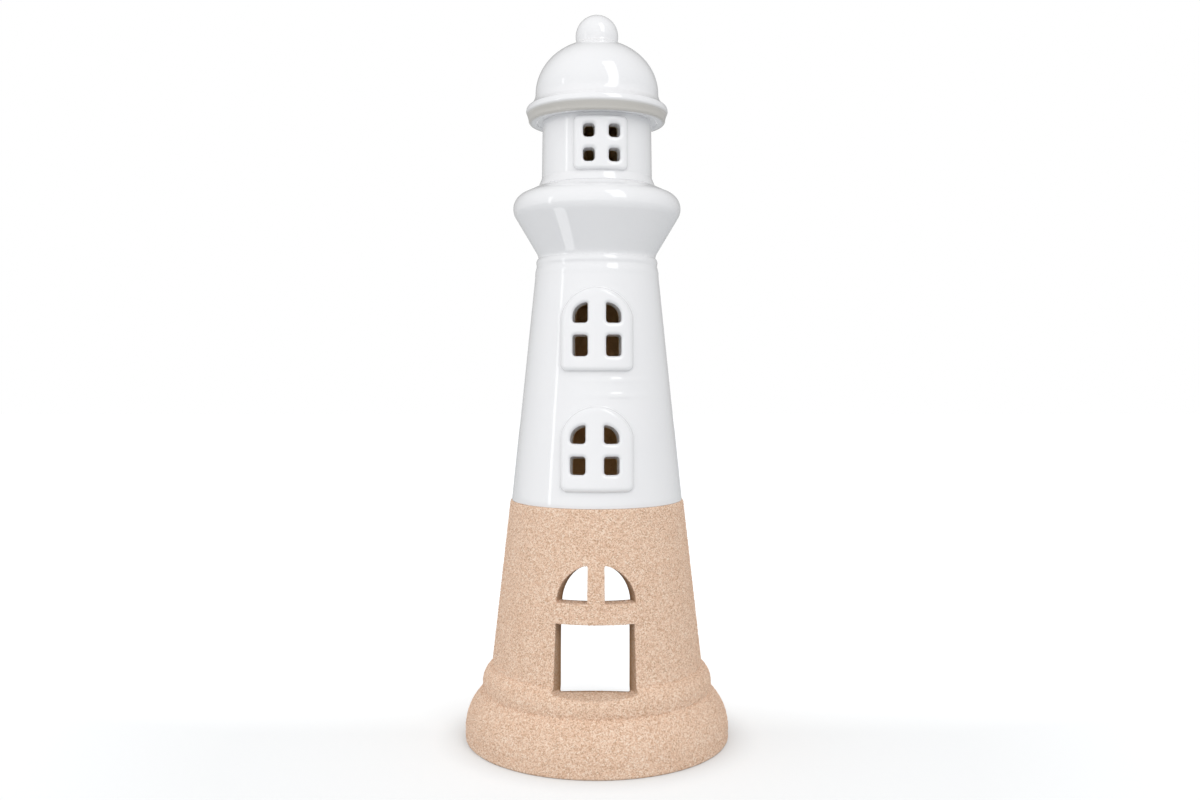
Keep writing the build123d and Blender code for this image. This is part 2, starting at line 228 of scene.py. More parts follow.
def soften(corners: Sequence[Triple], closed: bool, turns: int = 5) -> list[Pair]:
    """Round the corners of a polyline.

    Args:
        corners: Points of the polyline, each with the radius of its rounding.
        closed: Whether the last point joins the first.
        turns: Spans in each rounding.

    Returns:
        The points of the rounded polyline.
    """
    count = len(corners)
    points: list[Pair] = []
    for index, (x, y, radius) in enumerate(corners):
        ends = not closed and index in (0, count - 1)
        if ends or radius <= 0:
            points.append((x, y))
            continue
        here = Vector((x, y))
        back = (Vector(corners[index - 1][:2]) - here).normalized()
        ahead = (Vector(corners[(index + 1) % count][:2]) - here).normalized()
        half = back.angle(ahead) / 2
        reach = radius / math.tan(half)
        centre = here + (back + ahead).normalized() * (radius / math.sin(half))
        start = here + back * reach - centre
        stop = here + ahead * reach - centre
        first = math.atan2(start.y, start.x)
        swing = math.atan2(stop.y, stop.x) - first
        swing = (swing + math.pi) % (2 * math.pi) - math.pi
        for turn in range(turns + 1):
            angle = first + swing * turn / turns
            points.append((centre.x + radius * math.cos(angle), centre.y + radius * math.sin(angle)))
    return points


def rectangle(low: Pair, high: Pair, corner: float) -> list[Pair]:
    """Draw a rectangle between two corners, each rounded by a radius."""
    sides = [low, (high[0], low[1]), high, (low[0], high[1])]
    return soften([(x, y, corner) for x, y in sides], True)


def divided(points: Sequence[Pair], longest: float) -> list[Pair]:
    """Divide the long spans of an open line.

    Args:
        points: Points of the line.
        longest: Longest span that is left whole.

    Returns:
        The points with more between them.
    """
    result = [points[0]]
    for first, last in zip(points, points[1:]):
        spans = max(1, math.ceil(math.dist(first, last) / longest))
        for span in range(1, spans + 1):
            share = span / spans
            result.append((first[0] + (last[0] - first[0]) * share, first[1] + (last[1] - first[1]) * share))
    return result


def spaced(points: Sequence[Pair], spacing: float) -> list[Pair]:
    """Walk round a closed outline in even steps.

    Args:
        points: Points of the outline.
        spacing: Length of a step, about.

    Returns:
        Points at even distances along the outline.
    """
    loop = np.array([*points, points[0]])
    walked = np.concatenate(([0.0], np.cumsum(np.hypot(*np.diff(loop, axis=0).T))))
    count = max(8, round(walked[-1] / spacing))
    stops = np.arange(count) * walked[-1] / count
    across = np.interp(stops, walked, loop[:, 0])
    up = np.interp(stops, walked, loop[:, 1])
    return list(zip(across.tolist(), up.tolist()))


def widened(points: Sequence[Pair], distance: float) -> list[Pair]:
    """Move an anticlockwise outline outwards, or inwards by a negative distance.

    Args:
        points: Even points of the outline.
        distance: How far it moves.

    Returns:
        The moved points, in the same order.
    """
    loop = np.array(points)
    along = np.roll(loop, -1, axis=0) - np.roll(loop, 1, axis=0)
    along /= np.hypot(along[:, 0], along[:, 1])[:, None]
    moved = loop + distance * np.column_stack((along[:, 1], -along[:, 0]))
    return [(float(x), float(y)) for x, y in moved]


def grid(low: Pair, high: Pair, spacing: float) -> np.ndarray:
    """Lay staggered rows of points over a rectangle.

    Args:
        low: Lower left corner.
        high: Upper right corner.
        spacing: Distance between the points.

    Returns:
        The points, one on each row of the array.
    """
    rows = []
    for number, y in enumerate(np.arange(low[1], high[1], spacing)):
        shift = spacing / 2 * (number % 2)
        for x in np.arange(low[0] + shift, high[0], spacing):
            rows.append((x, y))
    return np.array(rows)


def beside(points: np.ndarray, loop: Sequence[Pair], margin: float) -> np.ndarray:
    """Tell which points lie nearer than a margin to the points of an outline."""
    here = np.array(loop)
    return np.hypot(points[:, :1] - here[:, 0], points[:, 1:] - here[:, 1]).min(axis=1) < margin


def outside(points: np.ndarray, loop: Sequence[Pair], margin: float) -> np.ndarray:
    """Tell which points lie outside an outline.

    Args:
        points: Points to try.
        loop: The closed outline.
        margin: Points nearer than this to the outline count as on it.

    Returns:
        A mask, true for the points that are outside and clear of it.
    """
    here = np.array(loop)
    ahead = np.roll(here, -1, axis=0)
    x = points[:, :1]
    y = points[:, 1:]
    rise = np.where(ahead[:, 1] == here[:, 1], 1.0, ahead[:, 1] - here[:, 1])
    reach = here[:, 0] + (ahead[:, 0] - here[:, 0]) * (y - here[:, 1]) / rise
    crossed = ((here[:, 1] > y) != (ahead[:, 1] > y)) & (x < reach)
    within = crossed.sum(axis=1) % 2 == 1
    return ~within & ~beside(points, loop, margin)


def inside(points: np.ndarray, loop: Sequence[Pair], margin: float) -> np.ndarray:
    """Tell which points lie inside a closed outline, clear of it by a margin."""
    return ~outside(points, loop, 0.0) & ~beside(points, loop, margin)


# Meshes


class Skin:
    """Points and faces of a piece while it is drawn, in millimetres."""

    def __init__(self) -> None:
        """Start with no points and no faces."""
        self.points: list[Triple] = []
        self.marks: list[float] = []
        self.faces: list[tuple[int, ...]] = []

    def row(self, points: Sequence[Triple], mark: float | Sequence[float]) -> list[int]:
        """Add a row of points.

        Args:
            points: Their places.
            mark: Inside mark of all of them, or one for each.

        Returns:
            Their numbers.
        """
        first = len(self.points)
        self.points.extend(points)
        self.marks.extend([mark] * len(points) if isinstance(mark, float) else mark)
        return list(range(first, len(self.points)))

    def join(self, first: Sequence[int], second: Sequence[int], closed: bool) -> None:
        """Lay a strip of faces between two rows.

        Args:
            first: Numbers of a row.
            second: Numbers of another, as many.
            closed: Whether the strip closes on itself.
        """
        count = len(first)
        for index in range(count if closed else count - 1):
            after = (index + 1) % count
            self.faces.append((first[index], first[after], second[after], second[index]))

    def band(self, rows: Sequence[Sequence[int]]) -> None:
        """Lay closed strips of faces from each row to the next."""
        for first, second in zip(rows, rows[1:]):
            self.join(first, second, True)

    def fill(
        self,
        loops: Sequence[Loop],
        loose: np.ndarray,
        place: Callable[[Pair], Triple],
        mark: float,
    ) -> None:
        """Fill a flat outline with holes, and set it in space.

        Args:
            loops: The outline and its holes, each as flat points and the numbers of their rows.
            loose: Flat points between them.
            place: Gives the place in space of a flat point.
            mark: Inside mark of the loose points.
        """
        flat: list[Vector] = []
        numbers: list[int] = []
        edges: list[tuple[int, int]] = []
        for points, row in loops:
            start = len(flat)
            count = len(points)
            flat.extend(Vector(point) for point in points)
            numbers.extend(row)
            edges.extend((start + index, start + (index + 1) % count) for index in range(count))
        spots = [(float(x), float(y)) for x, y in loose]
        flat.extend(Vector(spot) for spot in spots)
        numbers.extend(self.row([place(spot) for spot in spots], mark))
        corners, _, faces, sources, _, _ = delaunay_2d_cdt(flat, edges, [], 0, FLAT_SLACK, True)
        table: list[int] = []
        for corner, source in zip(corners, sources):
            if source:
                table.append(numbers[source[0]])
            else:
                table.extend(self.row([place((corner.x, corner.y))], mark))
        flat_corners = np.array([(corner.x, corner.y) for corner in corners])
        centres = flat_corners[np.array(faces)].mean(axis=1)
        kept = ~outside(centres, loops[0][0], 0.0)
        for points, _ in loops[1:]:
            kept &= outside(centres, points, 0.0)
        self.faces.extend(tuple(table[index] for index in face) for face, keep in zip(faces, kept) if keep)

    def tube(self, rows: Sequence[Sequence[Triple]], mark: float) -> None:
        """Lay a tube with a fan on each end.

        Args:
            rows: Its rings of points.
            mark: Inside mark of them all.
        """
        numbers = [self.row(row, mark) for row in rows]
        self.band(numbers)
        for ends in (numbers[0], numbers[-1]):
            middle = np.mean([self.points[index] for index in ends], axis=0)
            tip = self.row([tuple(float(value) for value in middle)], mark)[0]
            count = len(ends)
            self.faces.extend((ends[index], ends[(index + 1) % count], tip) for index in range(count))

    def bare(self) -> bmesh.types.BMesh:
        """Make a closed mesh in metres, with its faces outwards.

        Returns:
            The mesh, freed by whoever takes it.
        """
        mesh = bmesh.new()
        layer = mesh.verts.layers.float.new(INSIDE)
        verts = []
        for point, mark in zip(self.points, self.marks):
            vert = mesh.verts.new(Vector(point) * MM)
            vert[layer] = mark
            verts.append(vert)
        for face in self.faces:
            mesh.faces.new([verts[index] for index in face])
        bmesh.ops.remove_doubles(mesh, verts=mesh.verts[:], dist=WELD)
        bmesh.ops.dissolve_degenerate(mesh, edges=mesh.edges[:], dist=SLIVER)
        bmesh.ops.recalc_face_normals(mesh, faces=mesh.faces[:])
        return mesh


def cut_off(mesh: bmesh.types.BMesh, level: float, keep_top: bool) -> None:
    """Cut a closed mesh at a level and close the cut.

    Args:
        mesh: The mesh.
        level: The level.
        keep_top: Whether the part above is kept, and not the one below.
    """
    found = bmesh.ops.bisect_plane(
        mesh,
        geom=[*mesh.verts, *mesh.edges, *mesh.faces],
        dist=CUT_SLACK,
        plane_co=(0, 0, level * MM),
        plane_no=(0, 0, 1),
        clear_inner=keep_top,
        clear_outer=not keep_top,
    )
    edges = [part for part in found["geom_cut"] if isinstance(part, bmesh.types.BMEdge)]
    bmesh.ops.triangle_fill(mesh, use_beauty=True, use_dissolve=False, edges=edges)
    bmesh.ops.recalc_face_normals(mesh, faces=mesh.faces[:])


def shown(name: str, data: bpy.types.ID) -> bpy.types.Object:
    """Put an object in the scene.

    Args:
        name: Its name.
        data: Its mesh, lamp or camera.

    Returns:
        The object.
    """
    thing = bpy.data.objects.new(name, data)
    bpy.context.scene.collection.objects.link(thing)
    return thing


def smoothed(data: bpy.types.Mesh) -> None:
    """Shade a mesh smooth, with its sharp edges kept."""
    data.shade_smooth()
    data.set_sharp_from_angle(angle=SHARP_ANGLE)


def stood(name: str, mesh: bmesh.types.BMesh, material: bpy.types.Material) -> bpy.types.Object:
    """Put a mesh in the scene as a smooth piece.

    Args:
        name: Name of the piece.
        mesh: Its mesh, which is freed.
        material: Its finish.

    Returns:
        The piece.
    """
    data = bpy.data.meshes.new(name)
    mesh.to_mesh(data)
    mesh.free()
    smoothed(data)
    data.materials.append(material)
    return shown(name, data)


def carried(piece: bpy.types.Object, body: Body, slot: Slot, nodes: Sequence[str] = ()) -> None:
    """Set a piece on its body, in place of the solids that it stands for.

    Args:
        piece: The piece.
        body: Body that it rides on.
        slot: Material slot that its finish comes from; not used.
        nodes: Names of the solids that it stands for.
    """
    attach(piece, body.value)
    if nodes:
        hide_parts(*nodes)
    log.info("%s: %d faces on %s", piece.name, len(piece.data.polygons), body.value)


# Node trees


class Wire:
    """A node's output that takes part in sums, each sum adding a Math node."""

    def __init__(self, graph: "Graph", socket: bpy.types.NodeSocket) -> None:
        """Wrap an output of a graph."""
        self.graph = graph
        self.socket = socket

    def __add__(self, other: "Wire | float") -> "Wire":
        """Add a value."""
        return self.graph.sum("ADD", self, other)

    def __radd__(self, other: float) -> "Wire":
        """Add to a number."""
        return self.graph.sum("ADD", other, self)

    def __sub__(self, other: "Wire | float") -> "Wire":
        """Take a value away."""
        return self.graph.sum("SUBTRACT", self, other)

    def __rsub__(self, other: float) -> "Wire":
        """Take away from a number."""
        return self.graph.sum("SUBTRACT", other, self)

    def __mul__(self, other: "Wire | float") -> "Wire":
        """Multiply by a value."""
        return self.graph.sum("MULTIPLY", self, other)

    def __rmul__(self, other: float) -> "Wire":
        """Multiply a number."""
        return self.graph.sum("MULTIPLY", other, self)

    def __truediv__(self, other: "Wire | float") -> "Wire":
        """Divide by a value."""
        return self.graph.sum("DIVIDE", self, other)

    def __rtruediv__(self, other: float) -> "Wire":
        """Divide a number."""
        return self.graph.sum("DIVIDE", other, self)

    def most(self, other: "Wire | float") -> "Wire":
        """Take the larger of two values."""
        return self.graph.sum("MAXIMUM", self, other)


Feed = Wire | float | int | str | Sequence[float] | bpy.types.ID
Sockets = dict[str | int, Feed]


class Graph:
    """A node tree while it is built."""

    def __init__(self, tree: bpy.types.NodeTree) -> None:
        """Take over a tree and empty it."""
        self.tree = tree
        tree.nodes.clear()

    def node(
        self,
        kind: str,
        settings: dict[str, object] | None = None,
        sockets: Sockets | None = None,
    ) -> bpy.types.Node:
        """Add a node.

        Args:
            kind: Type of the node.
            settings: Its settings by name.
            sockets: Values or wires of its inputs, by name or number.

        Returns:
            The node.
        """
        made = self.tree.nodes.new(kind)
        for name, value in (settings or {}).items():
            setattr(made, name, value)
        for name, value in (sockets or {}).items():
            if isinstance(value, Wire):
                self.tree.links.new(value.socket, made.inputs[name])
            else:
                made.inputs[name].default_value = value
        return made

    def wire(
        self,
        kind: str,
        settings: dict[str, object] | None = None,
        sockets: Sockets | None = None,
        output: str | int = 0,
    ) -> Wire:
        """Add a node as the method node does, and give one of its outputs by name or number."""
        return Wire(self, self.node(kind, settings, sockets).outputs[output])

    def wires(self, node: bpy.types.Node, *names: str) -> list[Wire]:
        """Wrap some of a node's outputs."""
        return [Wire(self, node.outputs[name]) for name in names]

    def split(self, vector: Wire, *names: str) -> list[Wire]:
        """Give some of a vector's parts."""
        return self.wires(self.node("ShaderNodeSeparateXYZ", None, {0: vector}), *names)

    def sum(self, operation: str, first: Wire | float, second: Wire | float) -> Wire:
        """Add a Math node on two values."""
        return self.wire("ShaderNodeMath", {"operation": operation}, {0: first, 1: second})

    def mixed(self, share: Wire | float, first: Feed, second: Feed) -> Wire:
        """Mix two colours by the share of the second one."""
        return self.wire("ShaderNodeMix", {"data_type": "RGBA"}, {0: share, 6: first, 7: second}, 2)


class Paint(Graph):
    """The node tree of a material while it is built."""

    def __init__(self, name: str) -> None:
        """Start a material, with the place on the piece, in metres, as its first wire.

        Args:
            name: Name of the material.
        """
        self.material = bpy.data.materials.new(name)
        self.material.use_nodes = True
        super().__init__(self.material.node_tree)
        self.spot = self.wire("ShaderNodeTexCoord", output="Object")

    def noise(self, size: float, detail: float, stretch: float = 1.0) -> Wire:
        """Give soft noise.

        Args:
            size: Size of its lumps in millimetres, about.
            detail: How many finer layers it has.
            stretch: Factor on the heights that it is made from, under 1 for upright streaks.

        Returns:
            The noise.
        """
        spot = self.spot
        if stretch != 1.0:
            spot = self.wire("ShaderNodeMapping", None, {"Vector": spot, "Scale": (1.0, 1.0, stretch)})
        sockets = {"Vector": spot, "Scale": 1 / (size * MM), "Detail": detail, "Roughness": NOISE_ROUGHNESS}
        return self.wire("ShaderNodeTexNoise", None, sockets)

    def cells(self, size: float, output: str) -> Wire:
        """Give a Voronoi output whose cells are about a size in millimetres."""
        sockets = {"Vector": self.spot, "Scale": 1 / (size * MM)}
        return self.wire("ShaderNodeTexVoronoi", None, sockets, output)

    def attribute(self, name: str) -> Wire:
        """Give a mark that the piece's points carry."""
        return self.wire("ShaderNodeAttribute", {"attribute_name": name}, None, "Fac")

    def ramp(self, share: Wire, places: Sequence[float], colours: Sequence[Colour]) -> Wire:
        """Look up a ramp of colours.

        Args:
            share: Place to look at.
            places: Places of its stops.
            colours: Colours of its stops.

        Returns:
            The colour.
        """
        node = self.node("ShaderNodeValToRGB", None, {"Fac": share})
        elements = node.color_ramp.elements
        while len(elements) < len(places):
            elements.new(1.0)
        for element, place, colour in zip(elements, places, colours):
            element.position = place
            element.color = colour
        return Wire(self, node.outputs[0])

    def bump(self, height: Wire, depth: float, strength: float) -> Wire:
        """Give a normal tilted by a height field, its depth in millimetres."""
        sockets = {"Height": height, "Distance": depth * MM, "Strength": strength}
        return self.wire("ShaderNodeBump", None, sockets, "Normal")

    def finished(self, sockets: Sockets) -> bpy.types.Material:
        """End in a principled shader.

        Args:
            sockets: Values or wires of the shader's inputs.

        Returns:
            The material.
        """
        surface = self.wire("ShaderNodeBsdfPrincipled", None, sockets)
        self.node("ShaderNodeOutputMaterial", None, {"Surface": surface})
        return self.material


# Finishes, whose noises are given by the size of their lumps and their detail


@dataclass(frozen=True)
class Glaze:
    """Glossy white glaze over brown clay, which is left bare inside.

    Gloss holds the roughness of the glaze, what clouds add and what bareness adds, and relief the
    heights of the glaze's peel and of the clay's grit, over the glaze's swell. Marks up to the shade mark
    turn the white towards a grey that is painted shade, low on the roof's brim.
    """

    white: Colour = (0.84, 0.84, 0.852, 1)
    pooled: Colour = (0.81, 0.813, 0.83, 1)
    # Grey painted as shade low on the roof's brim, also passed on the way from glaze to bare clay.
    brim_shade: Colour = (0.53, 0.512, 0.48, 1)
    clay: Colour = (0.77, 0.53, 0.25, 1)
    clay_pale: Colour = (0.87, 0.65, 0.36, 1)
    shade_mark: float = 0.3
    cloud: Pair = (22.0, 3.0)
    peel: Pair = (2.4, 1.0)
    swell: Pair = (16.0, 1.0)
    grit: Pair = (0.8, 3.0)
    gloss: Triple = (0.05, 0.03, 0.75)
    relief: Pair = (0.22, 4.0)
    relief_depth: float = 0.035
    coat: float = 0.8
    coat_roughness: float = 0.02
    ior: float = 1.5

    def material(self) -> bpy.types.Material:
        """Build the finish.

        Returns:
            The material.
        """
        graph = Paint("white_glaze")
        bare = graph.attribute(INSIDE)
        cloud = graph.noise(*self.cloud)
        grit = graph.noise(*self.grit)
        coat = graph.mixed(cloud, self.white, self.pooled)
        clay = graph.mixed(grit, self.clay, self.clay_pale)
        # The white turns into the painted shade grey up to the shade mark, and into the clay beyond it.
        thin = graph.mixed(bare / self.shade_mark, coat, self.brim_shade)
        glazed = graph.noise(*self.peel) * self.relief[0] + graph.noise(*self.swell)
        height = glazed * (1 - bare) + grit * bare * self.relief[1]
        sockets = {
            "Base Color": graph.mixed((bare - self.shade_mark) / (1 - self.shade_mark), thin, clay),
            "Roughness": self.gloss[0] + cloud * self.gloss[1] + bare * self.gloss[2],
            "Coat Weight": self.coat - bare * self.coat,
            "Coat Roughness": self.coat_roughness,
            "IOR": self.ior,
            "Normal": graph.bump(height, self.relief_depth, 1.0),
        }
        return graph.finished(sockets)


@dataclass(frozen=True)
class SandCoat:
    """Matte coat of fine sand over brown clay.

    Tones and heights hold the shares of the grains' chance, the dust and a third pattern: wander in the
    tones, the gaps between the grains in the heights.
    """

    deep: Colour = (0.53, 0.33, 0.21, 1)
    brown: Colour = (0.74, 0.498, 0.35, 1)
    beige: Colour = (0.85, 0.612, 0.455, 1)
    pale: Colour = (0.965, 0.81, 0.675, 1)
    # Dark brown painted as shade on the reveals of the doorway and the loading arch.
    cut: Colour = (0.275, 0.147, 0.065, 1)
    clay: Colour = (0.55, 0.37, 0.21, 1)
    reveal_shade_mark: float = 0.88
    grain: float = 0.4
    wander: Pair = (9.0, 3.0)
    dust: Pair = (0.35, 2.0)
    tones: Triple = (0.62, 0.24, 0.16)
    heights: Triple = (0.4, 0.5, 0.8)
    places: tuple[float, ...] = (0.15, 0.37, 0.57, 0.87)
    roughness: Pair = (0.86, 0.1)
    relief: Pair = (0.22, 0.8)
    ior: float = 1.4
    loose_dust: Pair = (0.3, 1.0)
    loose_places: tuple[float, ...] = (0.05, 0.35, 0.7, 1.0)
    loose_roughness: Pair = (0.55, 0.35)
    loose_relief: Pair = (0.05, 0.5)

    def colours(self) -> list[Colour]:
        """List the colours of the grains, from dark to light."""
        return [self.deep, self.brown, self.beige, self.pale]

    def material(self) -> bpy.types.Material:
        """Build the finish.

        Returns:
            The material.
        """
        graph = Paint("sand_coat")
        bare = graph.attribute(INSIDE)
        wander = graph.noise(*self.wander)
        tint = graph.cells(self.grain, "Color")
        chance = graph.wire("ShaderNodeSeparateColor", None, {"Color": tint}, "Red")
        gap = graph.cells(self.grain, "Distance")
        dust = graph.noise(*self.dust)
        tone = chance * self.tones[0] + dust * self.tones[1] + wander * self.tones[2]
        coat = graph.ramp(tone, self.places, self.colours())
        height = (1 - gap) * self.heights[2] + dust * self.heights[1] + chance * self.heights[0]
        # Reveals turn to the dark brown of painted shade, and to bare clay past it.
        reveal = graph.mixed(bare / self.reveal_shade_mark, coat, self.cut)
        sockets = {
            "Base Color": graph.mixed((bare - self.reveal_shade_mark) / (1 - self.reveal_shade_mark), reveal, self.clay),
            "Roughness": self.roughness[0] + dust * self.roughness[1],
            "IOR": self.ior,
            "Normal": graph.bump(height, *self.relief),
        }
        return graph.finished(sockets)

    def loose_grain(self) -> bpy.types.Material:
        """Build the finish of the single grains that stand out of the coat.

        Returns:
            The material.
        """
        graph = Paint("sand_grain")
        dust = graph.noise(*self.loose_dust)
        sockets = {
            "Base Color": graph.ramp(graph.attribute(TONE), self.loose_places, self.colours()),
            "Roughness": self.loose_roughness[0] + dust * self.loose_roughness[1],
            "Normal": graph.bump(dust, *self.loose_relief),
        }
        return graph.finished(sockets)


@dataclass(frozen=True)
class SmallFinish:
    """Finish of a small piece: two colours mixed by one noise, and relief from another.

    Noises also have their stretch. Roughness holds its least value and what each noise adds, relief
    its depth and strength, and lift the share of the first noise in the relief.
    """

    name: str
    first: Colour
    second: Colour
    tint: Triple
    grain: Triple
    roughness: Triple
    relief: Pair
    lift: float = 0.0
    others: Sockets = field(default_factory=dict)

    def material(self) -> bpy.types.Material:
        """Build the finish.

        Returns:
            The material.
        """
        graph = Paint(self.name)
        tint = graph.noise(*self.tint)
        grain = graph.noise(*self.grain)
        sockets = {
            "Base Color": graph.mixed(tint, self.first, self.second),
            "Roughness": self.roughness[0] + tint * self.roughness[1] + grain * self.roughness[2],
            "Normal": graph.bump(grain + tint * self.lift, *self.relief),
            **self.others,
        }
        return graph.finished(sockets)


DRAWN_ALUMINIUM = SmallFinish(
    name="cup_aluminium",
    first=(0.80, 0.80, 0.81, 1),
    second=(0.66, 0.66, 0.67, 1),
    tint=(7.0, 3.0, 1.0),
    grain=(0.5, 2.0, 0.06),
    roughness=(0.2, 0.08, 0.16),
    relief=(0.02, 0.4),
    others={"Metallic": 1.0},
)
TEA_WAX = SmallFinish(
    name="tea_wax",
    first=(0.83, 0.815, 0.775, 1),
    second=(0.88, 0.875, 0.85, 1),
    tint=(3.2, 4.0, 1.0),
    grain=(1.1, 2.0, 1.0),
    roughness=(0.34, 0.22, 0.0),
    relief=(0.05, 0.5),
    lift=1.0,
    others={"Subsurface Weight": 0.35, "Subsurface Radius": (0.9, 0.8, 0.6), "Subsurface Scale": 2.5 * MM},
)
WAXED_COTTON = SmallFinish(
    name="wick_cotton",
    first=(0.60, 0.55, 0.47, 1),
    second=(0.80, 0.765, 0.69, 1),
    tint=(0.16, 3.0, 0.25),
    grain=(0.16, 3.0, 0.25),
    roughness=(0.72, 0.2, 0.0),
    relief=(0.06, 0.7),
)
TINNED_STEEL = SmallFinish(
    name="sustainer_tin",
    first=(0.64, 0.635, 0.62, 1),
    second=(0.46, 0.455, 0.44, 1),
    tint=(1.6, 3.0, 1.0),
    grain=(1.6, 3.0, 1.0),
    roughness=(0.3, 0.2, 0.0),
    relief=(0.03, 0.4),
    others={"Metallic": 1.0},
)


@dataclass(frozen=True)
class Finishes:
    """Materials of all the finishes."""

    glaze: bpy.types.Material
    sand: bpy.types.Material
    grain: bpy.types.Material
    aluminium: bpy.types.Material
    wax: bpy.types.Material
    cotton: bpy.types.Material
    tin: bpy.types.Material

    @classmethod
    def mixed(cls) -> "Finishes":
        """Build every finish once.

        Returns:
            The materials.
        """
        sand = SandCoat()
        small = [finish.material() for finish in (DRAWN_ALUMINIUM, TEA_WAX, WAXED_COTTON, TINNED_STEEL)]
        return cls(Glaze().material(), sand.material(), sand.loose_grain(), *small)


# Geometry node trees


class Shaping(Graph):
    """A geometry node tree while it is built, with the wires of its inputs by name."""

    def __init__(self, name: str, inputs: dict[str, str]) -> None:
        """Start a tree.

        Args:
            name: Its name.
            inputs: Kinds of its inputs, by their names.
        """
        super().__init__(bpy.data.node_groups.new(name, "GeometryNodeTree"))
        for title, kind in inputs.items():
            self.tree.interface.new_socket(title, in_out="INPUT", socket_type=f"NodeSocket{kind}")
        self.given = dict(zip(inputs, self.wires(self.node("NodeGroupInput"), *inputs)))

    def stored(self, domain: str, shape: Wire, name: str, value: Wire) -> Wire:
        """Store a mark by name on a shape's points or instances."""
        inputs = {"Geometry": shape, "Name": name, "Value": value}
        return self.wire("GeometryNodeStoreNamedAttribute", {"data_type": "FLOAT", "domain": domain}, inputs)

    def inside_mark(self) -> Wire:
        """Give the inside mark of a piece's points."""
        return self.wire("GeometryNodeInputNamedAttribute", {"data_type": "FLOAT"}, {"Name": INSIDE})

    def finished(self, shape: Wire, output: str) -> bpy.types.NodeTree:
        """End in a shape with the finish that was given.

        Args:
            shape: The shape.
            output: Name of the tree's output.

        Returns:
            The tree.
        """
        self.tree.interface.new_socket(output, in_out="OUTPUT", socket_type="NodeSocketGeometry")
        whole = self.wire("GeometryNodeRealizeInstances", None, {"Geometry": shape})
        sockets = {"Geometry": whole, "Material": self.given["Finish"]}
        dressed = self.wire("GeometryNodeSetMaterial", None, sockets)
        self.node("NodeGroupOutput", None, {output: dressed})
        return self.tree


